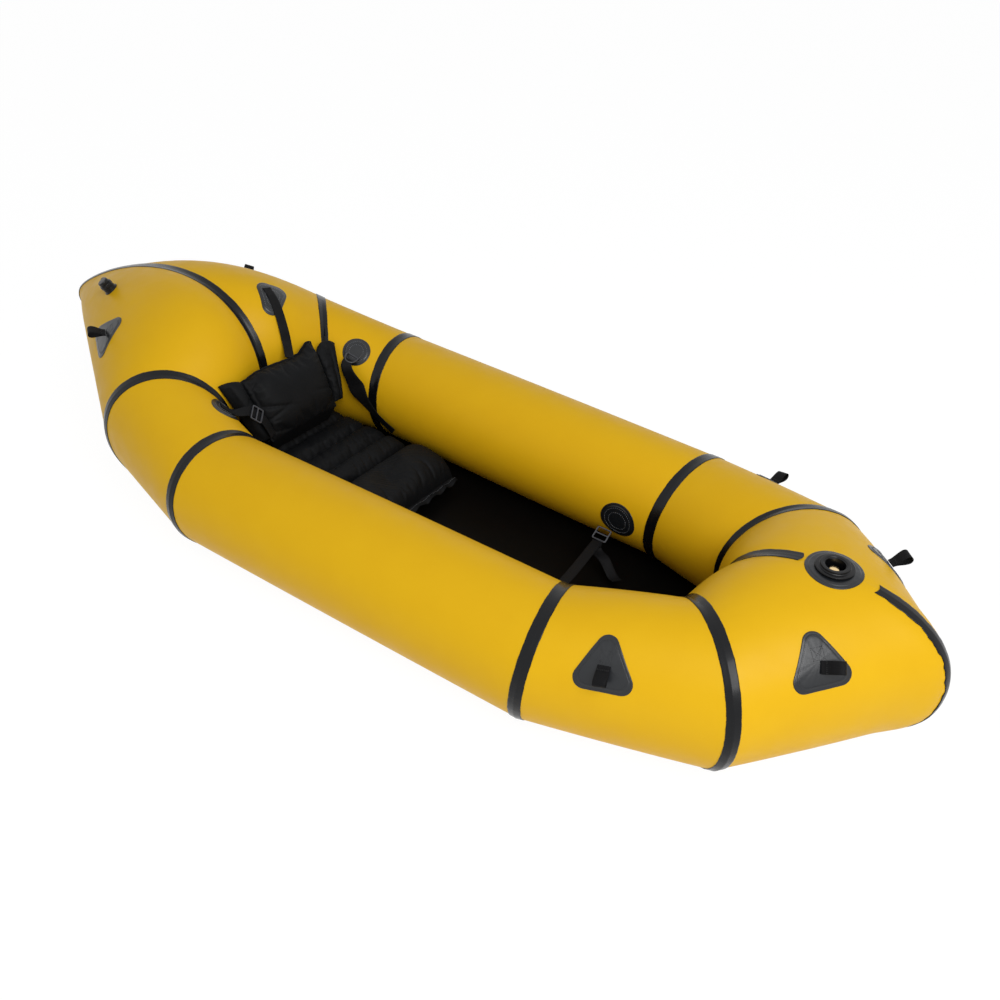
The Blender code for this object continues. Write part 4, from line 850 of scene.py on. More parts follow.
    def beside(self, seam: float, distance: Array, angle: Array) -> Array:
        """Find the stations that lie beside a seam.

        Args:
            seam: The seam's station.
            distance: How far beside it, in metres; aft is below 0.
            angle: Where round the tube, in radians.

        Returns:
            A station for each angle.
        """
        sign = np.where(distance < 0, -1.0, 1.0)
        run = self.skin(seam + sign * self.step, angle) - self.skin(np.full_like(angle, seam), angle)
        return seam + distance / (np.linalg.norm(run, axis=-1) / self.step)

    def floor_edge(self, count: int) -> Array:
        """Return points along the floor's starboard weld."""
        angles = np.full(count, math.radians(self.floor_angle))
        return self.lifted(np.linspace(*self.floor_run, count), angles, self.floor_lift)

    def floor_height(self, x: Array) -> Array:
        """Return the height of the floor's upper face along the boat."""
        edge = self.floor_edge(120)
        return np.interp(x, edge[:, 0], edge[:, 2])


@dataclass
class Tubes:
    """The ten tube panels, drawn into small puckers beside the curved seams."""

    shape: HullShape
    kinds: tuple[str, ...] = ("stern", "quarter", "side", "shoulder", "bow")
    lengths: tuple[float, ...] = (0.45, 0.25, 0.90, 0.32, 0.30)
    radius: float = 0.14
    sides: int = 168
    even_step: float = 0.024
    near_rows: tuple[float, ...] = (0.0, 0.006, 0.012, 0.017, 0.022, 0.028, 0.036, 0.048, 0.064, 0.085)
    pucker: float = 0.0010
    pucker_run: float = 0.024
    pucker_decay: float = 0.016
    pucker_start: float = 0.010
    seam_strengths: tuple[float, ...] = (0.5, 0.9, 0.25, 0.35, 0.9, 2.0)
    drawn_inboard: tuple[int, ...] = (0, 1, 3)
    valve_centre: Spot = (1.0130, 0.0, 0.3765)

    def shares(self, length: float) -> Array:
        """Set out a panel's rows, close together beside its seams.

        Args:
            length: How long the panel is.

        Returns:
            Each row's share of the length.
        """
        near = np.array(self.near_rows)
        near = near[near < length * 0.4]
        gap = length - 2 * near[-1]
        middle = near[-1] + gap * np.linspace(0, 1, max(3, int(gap / self.even_step) + 1))[1:-1]
        return np.concatenate((near, middle, (length - near)[::-1])) / length

    def height(self, first: int, share: Array, angle: Array, sign: int) -> Array:
        """Work out the puckers that draw the skin in beside its seams.

        Args:
            first: The panel's number from the stern, which is also its aft seam's.
            share: Where along the panel each point is.
            angle: Where round the tube it is, in radians.
            sign: The side's sign.

        Returns:
            Each point's height over the skin, 0 or below.
        """
        around = angle * self.radius * 2 * math.pi / self.pucker_run
        inner = 0.7 + 0.3 * np.cos(angle)
        if first in self.drawn_inboard:
            inner = 0.35 + 0.65 * (0.5 - 0.5 * np.cos(angle))
        drawn = 0 * share
        for seam, distance in ((first, share), (first + 1, 1 - share)):
            away = distance * self.lengths[first]
            wave = 0.5 + 0.5 * np.sin(around + 2.4 * wander(angle * 3, seam + sign))
            fade = np.exp(-away / self.pucker_decay) * np.clip(away / self.pucker_start, 0, 1)
            drawn = drawn - self.pucker * self.seam_strengths[seam] * inner * wave * fade
        return drawn

    def build(self) -> None:
        """Make the panels."""
        angles = full_turn(self.sides)
        for side in Side:
            for first, kind in enumerate(self.kinds):
                share, angle = np.meshgrid(self.shares(self.lengths[first]), angles, indexing="ij")
                station = (first + share) * side.value
                lift = self.height(first, share, angle, side.value)
                points = self.shape.lifted(station, angle, lift)
                faces = grid_faces(len(points), self.sides, True, flip=side is Side.PORT)
                name = f"{kind}_panel_{side.label}"
                if kind == "bow":
                    away = np.linalg.norm(points.reshape(-1, 3) - self.valve_centre, axis=1)
                    faces = [face for face in faces if (away[list(face)] > self.shape.valve_hole).all()]
                item = new_item(f"{name}_skin", points, faces, TUBE_FABRIC)
                finish_item(item, HULL, TUBE_FABRIC, name)


@dataclass
class Tapes:
    """The welded tapes over the seams, a touch uneven along both edges."""

    shape: HullShape
    width: float = 0.0280
    lift: float = 0.0003
    thickness: float = 0.0012
    sides: int = 300
    waver: float = 0.0005
    bow_waver: float = 0.0034
    ripple: float = 0.00015
    valve_gaps: tuple[float, float] = (0.067, 0.079)
    section: Profile = (
        (-1.0, 0.02), (-0.985, 0.62), (-0.93, 0.94), (-0.82, 1.0), (-0.5, 1.0), (-0.12, 1.05), (0.0, 1.25),
        (0.12, 1.05), (0.5, 1.0), (0.82, 1.0), (0.93, 0.94), (0.985, 0.62), (1.0, 0.02))

    def strip(self, name: str, seam: float, angles: Array, closed: bool, waver: float, node: str) -> Item:
        """Make one tape around a seam.

        Args:
            name: The object's name.
            seam: The seam's station.
            angles: Where the tape runs, in radians.
            closed: Whether it joins up around the tube.
            waver: How far its edges wander.
            node: The CAD node that it replaces.

        Returns:
            The tape.
        """
        rows = []
        for across, height in self.section:
            front = 0.25 + 0.75 * np.clip(np.cos(angles), 0, 1) if waver > self.waver else 1.0
            edge = abs(across) ** 3 * waver * front * wander(angles * 15.0, seam * 3 + np.sign(across) * 2)
            distance = across * self.width / 2 + edge * np.sign(across)
            stations = self.shape.beside(seam, distance, angles)
            rise = self.lift + self.thickness * height + self.ripple * wander(angles * 9.0, seam)
            rows.append(self.shape.lifted(stations, angles, rise))
        faces = grid_faces(len(rows), len(angles), closed)
        item = new_item(name, np.stack(rows), faces, SEAM_TAPE, sharp=60.0)
        return finish_item(item, HULL, SEAM_TAPE, node)

    def build(self) -> None:
        """Make the ten tapes; the bow's centre tape stops short of the valve patch."""
        angles = full_turn(self.sides)
        for side in Side:
            for seam, kind in ((1, "quarter"), (2, "side_aft"), (3, "side_fore"), (4, "shoulder")):
                name = f"{kind}_tape_{side.label}"
                self.strip(f"{name}_film", seam * side.value, angles, True, self.waver, name)
        self.strip("stern_centre_tape_film", 0, angles, True, self.waver, "stern_centre_tape")
        valve = math.radians(self.shape.valve_degrees)
        speed = float(np.linalg.norm(self.shape.slopes(np.array(5.0), np.array(valve))[1]))
        start = valve + self.valve_gaps[0] / speed
        end = valve + 2 * math.pi - self.valve_gaps[1] / speed
        self.strip("bow_centre_tape_film", 5.0, np.linspace(start, end, self.sides), False,
            self.bow_waver, "bow_centre_tape")


@dataclass
class FloorSheet:
    """The floor: one heavy sheet held along both tubes, sagging a little between them."""

    shape: HullShape
    thickness: float = 0.0015
    sag: float = 0.0035
    sag_rise: float = 12.0
    fold: float = 0.0008
    rows: int = 96
    columns: int = 30

    def build(self) -> None:
        edge = self.shape.floor_edge(self.rows)
        across = np.linspace(-1, 1, self.columns)
        top = np.stack(np.broadcast_arrays(edge[:, None, 0], edge[:, None, 1] * -across,
            edge[:, None, 2]), -1).copy()
        ends = 1 - np.abs(np.linspace(-1, 1, self.rows))[:, None]
        slack = self.sag * (1 - across ** 2) * np.minimum(1, self.sag_rise * ends)
        folds = self.fold * wander(top[..., 1] * 60 + top[..., 0] * 7, 2.0) * (1 - across ** 4)
        top[..., 2] += folds - slack
        low = top - np.array((0.0, 0.0, self.thickness))
        count = self.rows * self.columns
        faces = grid_faces(self.rows, self.columns, flip=True)
        faces += grid_faces(self.rows, self.columns, start=count)
        numbers = np.arange(count).reshape(self.rows, self.columns)
        rim = [*numbers[0], *numbers[1:, -1], *numbers[-1, -2::-1], *numbers[-2:0:-1, 0]]
        faces += [(a, b, b + count, a + count) for a, b in zip(rim, rim[1:] + rim[:1])]
        points = np.concatenate((top.reshape(-1, 3), low.reshape(-1, 3)))
        item = new_item("floor_sheet", points, faces, FLOOR_CLOTH, sharp=60.0)
        outward(item.data)
        finish_item(item, HULL, FLOOR_CLOTH, "floor")


# Stitching.

@dataclass(frozen=True)
class Stitching:
    """Lock stitches: short rounds of thread, one after another along a seam line."""

    finish: Finish
    pitch: float = 0.0042
    length_share: float = 0.72
    diameter: float = 0.0009

    def tree(self) -> Tree:
        """Return the stitch tree, with its sizes as named inputs."""
        name = f"stitches, {self.finish.name}"
        found = bpy.data.node_groups.get(name)
        if found is not None:
            return found
        tree = bpy.data.node_groups.new(name, "GeometryNodeTree")
        sockets = tree.interface
        sockets.new_socket("Geometry", in_out="INPUT", socket_type="NodeSocketGeometry")
        for label in ("Pitch", "Stitch Length", "Thread Diameter"):
            sockets.new_socket(label, in_out="INPUT", socket_type="NodeSocketFloat")
        sockets.new_socket("Geometry", in_out="OUTPUT", socket_type="NodeSocketGeometry")
        start = add_node(tree, "NodeGroupInput")
        curve = add_node(tree, "GeometryNodeMeshToCurve", links={"Mesh": start.outputs["Geometry"]})
        even = add_node(tree, "GeometryNodeResampleCurve", {"mode": "LENGTH"},
            {"Curve": curve.outputs["Curve"], "Length": start.outputs["Pitch"]})
        bead = add_node(tree, "GeometryNodeMeshUVSphere", values={"Segments": 6, "Rings": 5, "Radius": 0.5})
        size = add_node(tree, "ShaderNodeCombineXYZ",
            links={"X": start.outputs["Stitch Length"], "Y": start.outputs["Thread Diameter"],
                   "Z": start.outputs["Thread Diameter"]})
        run = add_node(tree, "GeometryNodeInputTangent")
        turn = add_node(tree, "FunctionNodeAlignRotationToVector", {"axis": "X"},
            {"Vector": run.outputs["Tangent"]})
        laid = add_node(tree, "GeometryNodeInstanceOnPoints",
            links={"Points": even.outputs["Curve"], "Instance": bead.outputs["Mesh"],
                   "Rotation": turn.outputs["Rotation"], "Scale": size.outputs["Vector"]})
        real = add_node(tree, "GeometryNodeRealizeInstances", links={"Geometry": laid.outputs["Instances"]})
        thread = add_node(tree, "GeometryNodeSetMaterial", links={"Geometry": real.outputs["Geometry"]},
            values={"Material": self.finish.material()})
        add_node(tree, "NodeGroupOutput", links={"Geometry": thread.outputs["Geometry"]})
        return tree

    def sew(self, name: str, runs: Sequence[Array], body: str) -> Item:
        """Sew stitches along lines and let them ride on a body.

        Args:
            name: The object's name.
            runs: The lines, each one point to a row.
            body: The CAD body that carries them.

        Returns:
            The stitches as one plain mesh.
        """
        points, edges = [], []
        for run in runs:
            start = len(points)
            points += [tuple(point) for point in run]
            edges += [(start + index, start + index + 1) for index in range(len(run) - 1)]
        guide = bpy.data.meshes.new(f"{name}_line")
        guide.from_pydata(points, edges, [])
        line = linked(f"{name}_line", guide)
        sewn = line.modifiers.new("stitches", "NODES")
        tree = self.tree()
        sewn.node_group = tree
        sizes = {"Pitch": self.pitch, "Stitch Length": self.pitch * self.length_share,
            "Thread Diameter": self.diameter}
        for socket in tree.interface.items_tree:
            if socket.name in sizes:
                sewn[socket.identifier] = sizes[socket.name]
        mesh = evaluated(line)
        bpy.data.objects.remove(line, do_unlink=True)
        item = link_item(name, mesh, self.finish, 80.0)
        return finish_item(item, body, self.finish)


# Patches.

def rounded_shape(corners: Sequence[tuple[float, float]], radius: float, count: int) -> Array:
    """Draw a polygon with rounded corners.

    Args:
        corners: The middles of the corners' arcs, anticlockwise.
        radius: The arcs' radius.
        count: How many points to return.

    Returns:
        Evenly spaced points, one to a row.
    """
    outline = []
    for index, corner in enumerate(corners):
        before = Vector(corner) - Vector(corners[index - 1])
        after = Vector(corners[(index + 1) % len(corners)]) - Vector(corner)
        start = math.atan2(-before.x, before.y)
        turn = (math.atan2(-after.x, after.y) - start) % (2 * math.pi)
        for step in range(13):
            angle = start + turn * step / 12
            outline.append((corner[0] + radius * math.cos(angle), corner[1] + radius * math.sin(angle)))
    return respaced(np.array(outline + outline[:1]), count, False)


def triangle(height: float, width: float, radius: float, count: int = 96) -> Array:
    """Return a rounded triangle, point up, around the origin."""
    half, top = width / 2 - radius, height / 2 - radius
    return rounded_shape(((-half, -top), (half, -top), (0.0, top)), radius, count)


def disc(radius: float, count: int = 96) -> Array:
    """Return a circle of points around the origin."""
    turns = full_turn(count)
    return np.stack((np.cos(turns), np.sin(turns)), -1) * radius


@dataclass
class Patch:
    """A welded patch: cloth that follows the skin, with a pressed rim."""

    shape: HullShape
    node: str
    station: float
    degrees: float
    outline: Array
    lift: float = 0.0009
    thickness: float = 0.0014
    rim: float = 0.0072
    border: Profile = ((1.16, 0.0), (1.08, 0.0001), (1.0, 0.0007), (0.6, 0.0007), (0.2, 0.0007),
        (0.06, 0.0010), (0.0, 0.0020))
    ripple: float = 0.0003
    hole: float = 0.0
    rings: tuple[float, ...] = (0.06, 0.14, 0.25, 0.4, 0.56, 0.72)
    rings_round_hole: tuple[float, ...] = (0.0, 0.3, 0.7)

    def surface(self, flat: Array, lift: Array | float) -> Array:
        """Return points over the skin from flat distances along and around."""
        stations, angles = self.shape.spread(self.station, self.degrees, flat)
        return self.shape.lifted(stations, angles, np.asarray(lift) * np.ones(len(flat)))

    def build(self) -> Item:
        """Make the patch and let it ride on the hull."""
        size = float(np.linalg.norm(self.outline, axis=1).mean())
        rim = self.rim / size
        top = self.lift + self.thickness
        inner = self.hole / size
        shares = self.rings_round_hole if inner else self.rings
        levels = [(inner + (1 - inner) * share, top) for share in shares]
        levels += [(1 - rim * reach, top - drop) for reach, drop in self.border]
        count = len(self.outline)
        ripple = self.ripple * wander(full_turn(count) * 4, self.station)
        flats = [self.outline * share for share, _ in levels]
        lifts = [np.full(count, height) + ripple * share for share, height in levels]
        points = self.surface(np.concatenate(flats + [np.zeros((1, 2))]),
            np.concatenate(lifts + [np.array((top,))]))
        middle = len(points) - 1
        faces = [] if inner else [(middle, side, (side + 1) % count) for side in range(count)]
        faces += grid_faces(len(levels), count, True)
        points = points[:middle] if inner else points
        item = new_item(f"{self.node}_cloth", points, faces, PATCH_CLOTH, sharp=50.0)
        outward_check(item, self.shape.frame(self.station, self.degrees)[1][:, 2])
        return finish_item(item, HULL, PATCH_CLOTH, self.node)

    def line(self, flat: Array, rise: float = 0.0002) -> Array:
        """Return a stitch line on the patch from flat points."""
        return self.surface(flat, self.lift + self.thickness + rise)


def outward_check(item: Item, out: Array) -> None:
    """Flip an open sheet whose faces point away from a direction."""
    if sum(float(np.array(face.normal) @ out) * face.area for face in item.data.polygons) < 0:
        item.data.flip_normals()


@dataclass
class Patches:
    """All the patches: six tie-downs, the valve's, the rear strap's, two side and two foot."""

    shape: HullShape
    tie_places: dict[Corner, tuple[float, float]] = field(default_factory=lambda: {
        Corner.STERN: (0.67, 46.0), Corner.SHOULDER: (3.388, 43.0), Corner.BOW: (4.41, 46.0)})
    tie_size: Spot = (0.105, 0.112, 0.021)
    tie_box: Profile = ((-0.0105, 0.023), (-0.0105, 0.001), (0.0115, 0.001), (0.0115, 0.023))
    side_setbacks: dict[Side, float] = field(default_factory=lambda: {
        Side.STARBOARD: 0.1463, Side.PORT: 0.1060})
    side_degrees: float = 133.0
    side_radius: float = 0.038
    foot_place: tuple[float, float] = (2.90, 185.0)
    foot_radius: float = 0.046
    rear_place: tuple[float, float] = (-0.49, 131.0)
    rear_size: Spot = (0.104, 0.082, 0.026)
    valve_radius: float = 0.0550
    box_stitches: Stitching = Stitching(DARK_THREAD, 0.0036, 0.78, 0.0009)
    ring_stitches: Stitching = Stitching(PALE_THREAD, 0.0050, 0.66, 0.0008)

    def side_station(self, side: Side) -> float:
        """Return a side patch's station, from its distance to the seam ahead of it."""
        run = np.linalg.norm(np.array(self.shape.rings[2].centre) - np.array(self.shape.rings[1].centre))
        return side.value * (2 - self.side_setbacks[side] / float(run))

    def build(self) -> None:
        """Make every patch and its stitching."""
        outline, box = triangle(*self.tie_size), np.array(self.tie_box)
        for corner, (station, degrees) in self.tie_places.items():
            for side in Side:
                node = f"{corner.value}_tie_patch_{side.label}"
                patch = Patch(self.shape, node, side.value * station, degrees, outline)
                patch.build()
                runs = [dense(outline * 0.80), dense(box), dense(box[::2], closed=False),
                    dense(box[1::2], closed=False)]
                self.box_stitches.sew(f"{node}_stitches", [patch.line(run) for run in runs], HULL)
        Patch(self.shape, "bow_valve_patch", 5.0, self.shape.valve_degrees, disc(self.valve_radius, 120),
            hole=self.shape.valve_hole).build()
        rounds = [(f"side_patch_{side.label}", self.side_station(side), self.side_degrees,
            disc(self.side_radius)) for side in Side]
        rounds += [(f"foot_patch_{side.label}", side.value * self.foot_place[0], self.foot_place[1],
            disc(self.foot_radius)) for side in Side]
        rounds.append(("rear_patch", *self.rear_place, triangle(*self.rear_size)))
        for node, station, degrees, outline in rounds:
            patch = Patch(self.shape, node, station, degrees, outline)
            patch.build()
            runs = [patch.line(dense(outline * share)) for share in (0.74, 0.50)]
            self.ring_stitches.sew(f"{node}_stitches", runs, HULL)


# Webbing.

@dataclass
class TieLoops:
    """Six webbing loops, each folded round its eye and sewn down at its root.

    A place is the corner, the side, the loop's twist in degrees and its frame: origin, X and Z's side.
    """

    length: float = 0.042
    eye: float = 0.0140
    width: float = 0.025
    thickness: float = 0.0016
    places: tuple[tuple[Corner, Side, float, Spot, Spot, Spot], ...] = (
        (Corner.STERN, Side.STARBOARD, 6.0, (-0.80369, -0.23678, 0.34931), (-0.5123, -0.8341, 0.2045),
         (-0.8158, 0.547, 0.1875)),
        (Corner.STERN, Side.PORT, -5.0, (-0.80369, 0.23678, 0.34931), (-0.5123, 0.8341, 0.2045),
         (0.8158, 0.547, -0.1875)),
        (Corner.SHOULDER, Side.STARBOARD, -7.0, (0.75244, -0.37523, 0.25311), (0.3012, -0.897, -0.3236),
         (-0.9535, -0.2792, -0.1136)),
        (Corner.SHOULDER, Side.PORT, 9.0, (0.75244, 0.37523, 0.25311), (0.2551, 0.9482, 0.1894),
         (0.9535, -0.2792, 0.1136)),
        (Corner.BOW, Side.STARBOARD, 8.0, (1.07791, -0.18538, 0.30351), (0.915, 0.2559, 0.312),
         (0.4035, -0.5738, -0.7127)),
        (Corner.BOW, Side.PORT, -10.0, (1.07763, 0.18516, 0.30329), (0.6462, 0.6194, 0.4458),
         (0.6433, -0.7564, 0.1185)))
    tack_places: tuple[float, float] = (0.0085, 0.0105)
    tack_half: float = 0.0100
    tack_proud: float = 0.0009
    tacks: Stitching = Stitching(DARK_THREAD, 0.0030, 0.8, 0.0009)

    def side_view(self) -> Array:
        """Draw the loop's middle line in its own plane.

        Returns:
            Its points, from its root round the eye and back.
        """
        radius = self.eye / 2 + self.thickness / 2
        centre = self.length - radius - self.thickness / 2
        lower = [(-0.0006, -self.thickness * 0.55), (0.006, -0.0011), (centre * 0.42, -radius * 0.42),
            (centre * 0.72, -radius * 0.84)]
        turns = [math.radians(angle) for angle in range(-75, 76, 15)]
        bend = [(centre + radius * math.cos(turn), radius * math.sin(turn)) for turn in turns]
        upper = [(x, -y) for x, y in reversed(lower)]
        return np.array([(x, y, 0.0) for x, y in lower + bend + upper])

    def build(self) -> None:
        """Make the loops and the bar tacks at their roots."""
        line = rounded_path(self.side_view(), 72)
        share = np.clip(line[:, 0] / self.length, 0, 1)
        for corner, side, twist, *frame in self.places:
            node, body = f"{corner.value}_loop_{side.label}", f"loop_{corner.value}_{side.label}"
            place = axes_matrix(*frame)
            turn = np.radians(twist) * share
            across = np.stack((0 * turn, np.sin(turn), np.cos(turn)), -1)
            swivel = np.array(place)[:3, :3]
            band = ribbon(f"{node}_band", placed(line, place), across @ swivel.T, self.width - 0.0006,
                self.thickness - 0.0002, STRAP_WEBBING)
            finish_item(band, body, STRAP_WEBBING, node)
            runs = []
            for face in (-1, 1):
                for at in self.tack_places:
                    height = float(np.interp(at, (0.006, 0.014), (0.0011, 0.0036))) + self.tack_proud
                    ends = np.array([(at, face * height, z) for z in (-self.tack_half, self.tack_half)])
                    runs.append(placed(dense(ends, closed=False), place))
            self.tacks.sew(f"{node}_tacks", runs, body)


@dataclass
class Straps:
    """The straps that hold the backrest, and the one across the cockpit for the feet."""

    shape: HullShape
    patches: Patches
    width: float = 0.025
    thickness: float = 0.0016
    rear_course: tuple[Spot, ...] = (
        (-0.490, 0, 0.0036), (-0.485, 8, 0.0036), (-0.470, 16, 0.0038), (-0.450, 24, 0.0046),
        (-0.430, 32, 0.0068), (-0.410, 42, 0.0110))
    rear_setback: float = 8.0
    rear_end: Spot = (-0.4470, 0.0440, 0.2900)
    starboard_end: Spot = (-0.3550, -0.1160, 0.1700)
    lock_across: Spot = (-0.4728, 0.7436, 0.4728)
    lock_half: float = 0.017
    port_width: float = 0.027
    port_bulge: float = 0.75
    port_way: Spot = (0.0974, -0.9668, -0.2363)
    port_end: Spot = (-0.2200, 0.1837, 0.0900)
    foot_course: Profile = ((16, 0.0060), (6, 0.0034), (-6, 0.0034))
    foot_sag: float = 0.014
    tail_root: Spot = (0.4468, 0.1433, 0.0707)
    tail_course: tuple[Spot, ...] = ((0.484, 0.118, 0.0500), (0.527, 0.095, 0.0300), (0.537, 0.0895, 0.0330))

    def on_hull(self, station: float, degrees: float, lift: float) -> Array:
        """Return a point over the hull."""
        return self.shape.lifted(np.array(station), np.array(math.radians(degrees)), lift)

    def sweep(self, node: str, knots: Sequence[Array], sides: tuple[Array, Array],
            turn: tuple[float, float], width: float, count: int = 90, bulge: float = 0.0) -> Item:
        """Sweep a strap whose width turns from one direction to another.

        Args:
            node: The CAD node that it stands for.
            knots: Points that its middle line passes through.
            sides: Its width direction at both ends.
            turn: The shares of its length between which it turns.
            width: How wide it is.
            count: How many points go along it.
            bulge: The share by which it is wider a third of the way along.

        Returns:
            The strap.
        """
        path = rounded_path(knots, count)
        swell = 1 + bulge * np.exp(-((np.linspace(0, 1, count) - 0.36) / 0.17) ** 2)
        share = np.clip((np.linspace(0, 1, count) - turn[0]) / (turn[1] - turn[0]), 0, 1)
        share = (share * share * (3 - 2 * share))[:, None]
        across = unit(np.asarray(sides[0]) * (1 - share) + np.asarray(sides[1]) * share)
        return ribbon(f"{node}_band", path, across, width, self.thickness, STRAP_WEBBING, swell)

    def rear(self) -> None:
        """Make the strap from the stern patch over the tube to the pillow's head."""
        station, degrees = self.patches.rear_place
        start = degrees - self.rear_setback
        knots = [self.on_hull(at, start + step, lift) for at, step, lift in self.rear_course]
        knots.append(np.array(self.rear_end))
        across = self.shape.frame(station, start)[1][:, 0]
        settled = unit(across + np.array((0.0, -0.3, 0.0)))
        item = self.sweep("rear_strap", knots, (across, settled), (0.1, 0.8), self.width)
        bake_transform(item)
        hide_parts("rear_strap")

    def starboard(self) -> None:
        """Make the starboard strap from its patch through the ladder lock to the pillow's foot."""
        station, degrees = self.patches.side_station(Side.STARBOARD), self.patches.side_degrees
        start = self.on_hull(station, degrees - 6.0, 0.0036)
        second = self.on_hull(station, degrees + 9.0, 0.0072)
        lock, x, z = np.array(SIDE_LOCK)
        through = lock - z * 0.0035
        knots = [start, second, through - x * self.lock_half, through + x * self.lock_half,
            np.array(self.starboard_end)]
        across = self.shape.frame(station, degrees)[1][:, 0]
        across = across if float(across @ self.lock_across) > 0 else -across
        item = self.sweep("side_strap_starboard", knots, (across, self.lock_across), (0.2, 0.5), self.width)
        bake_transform(item)
        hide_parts("side_strap_starboard")

    def port(self) -> None:
        """Make the wide strap from the D-ring down to the seat's side."""
        way, end = np.array(self.port_way), np.array(self.port_end)
        tip = np.array(D_RING[0]) + way * 0.0270
        upper = tip + (end - tip) * 0.35 + (-0.012, -0.014, -0.002)
        lower = tip + (end - tip) * 0.70 + (-0.012, -0.013, -0.002)
        item = self.sweep("side_strap_port", (tip - way * 0.0100, tip, upper, lower, end),
            (D_RING[1], (-1.0, 0.0, 0.0)), (0.3, 0.7), self.port_width, bulge=self.port_bulge)
        finish_item(item, HULL, STRAP_WEBBING, "side_strap_port")

    def foot(self) -> None:
        """Make the foot strap and its hanging tail."""
        station, degrees = self.patches.foot_place
        start = np.array(FOOT_LOCK[0]) + unit(np.array((0.0, -1.0, -0.6))) * (self.lock_half + 0.0019)
        hull = [self.on_hull(station, degrees + step, lift) for step, lift in self.foot_course]
        sag = (start + hull[0]) / 2 - UP * self.foot_sag
        side = self.shape.frame(station, degrees)[1][:, 0]
        strap = self.sweep("foot_strap", [start, sag] + hull, ((1.0, 0.0, 0.0), side), (0.35, 0.65),
            self.width, 110)
        finish_item(strap, HULL, STRAP_WEBBING, "foot_strap")
        root = np.array(self.tail_root)
        knots = (root, root + unit(np.array((0.0, -0.86, -1.51))) * 0.012, *self.tail_course)
        tail = self.sweep("foot_strap_tail", knots, ((1.0, 0.0, 0.0), (0.7, 0.7, 0.0)), (0.35, 0.65),
            self.width, 60)
        finish_item(tail, "foot_tail", STRAP_WEBBING, "foot_strap_tail")

    def build(self) -> None:
        """Make every strap."""
        self.rear()
        self.starboard()
        self.port()
        self.foot()


# Seat and backrest.

@dataclass(frozen=True)
class Inflation:
    """How Cloth blows a sewn cushion up: pressure in it, its seams held."""

    pressure: float = 4.0
    frames: int = 14
    growth: float = 0.04
    cap: float = 0.009

    def run(self, item: Item, held: Array) -> None:
        """Blow up a closed cushion in place.

        Args:
            item: The cushion.
            held: The vertices that its seams hold.
        """
        scene = bpy.context.scene
        group = item.vertex_groups.new(name="held")
        group.add([int(index) for index in held], 1.0, "REPLACE")
        before = np.array([vertex.co for vertex in item.data.vertices])
        cloth = item.modifiers.new("air", "CLOTH")
        rules = cloth.settings
        rules.quality = 5
        rules.mass = 0.15
        rules.use_pressure = True
        rules.uniform_pressure_force = self.pressure
        rules.vertex_group_mass = "held"
        rules.shrink_min = -self.growth
        rules.bending_stiffness = 0.05
        rules.effector_weights.gravity = 0.0
        cloth.collision_settings.use_collision = False
        cloth.point_cache.frame_start = 1
        cloth.point_cache.frame_end = self.frames
        for frame in range(1, self.frames + 1):
            scene.frame_set(frame)
        graph = bpy.context.evaluated_depsgraph_get()
        after = np.array([vertex.co for vertex in item.evaluated_get(graph).data.vertices])
        item.modifiers.remove(cloth)
        item.vertex_groups.remove(group)
        scene.frame_set(1)
        move = after - before
        size = np.linalg.norm(move, axis=1, keepdims=True)
        move *= self.cap * np.tanh(size / self.cap) / np.maximum(size, 1e-9)
        item.data.vertices.foreach_set("co", (before + move).ravel())
        item.data.update()


def crown(share: Array, sharpness: float) -> Array:
    """Return a crown that is 0 at both ends of a share from 0 to 1 and full between them."""
    return np.sqrt(np.clip(1 - np.abs(2 * share - 1) ** sharpness, 0, 1))


def ruffled(share: Array, count: float, seed: float, spread: float, strength: float = 2.0) -> Array:
    """Gather an edge into uneven ruffles.

    Args:
        share: Each point's share of the way along the edge.
        count: How many ruffles the edge has.
        seed: Which of the uneven waves moves them.
        spread: How fast that wave runs along the edge.
        strength: How far it moves them, in radians.

    Returns:
        A wave between -1 and 1.
    """
    return np.sin(share * 2 * math.pi * count + strength * wander(share * spread, seed))


def face_shares(rows: int, columns: int) -> tuple[Array, Array]:
    """Return each grid point's share of the way along the rows and the columns."""
    return np.meshgrid(np.linspace(0, 1, rows), np.linspace(0, 1, columns), indexing="ij")


def creases(run: Array, across: Array, folds: Sequence[Sequence[float]]) -> Array:
    """Return how deep slack folds are that reach in from the edge at run 1.

    Args:
        run: Each point's share of the way to that edge.
        across: Its share of the way along the edge.
        folds: For each fold its place on the edge, its lean, its width and where it starts.

    Returns:
        0 away from the folds and 1 on them.
    """
    deep = np.zeros_like(run)
    for at, lean, width, start in folds:
        away = np.abs(across - at - lean * (run - 1))
        deep += np.exp(-away / width) * np.clip((run - start) / 0.35, 0, 1)
    return deep


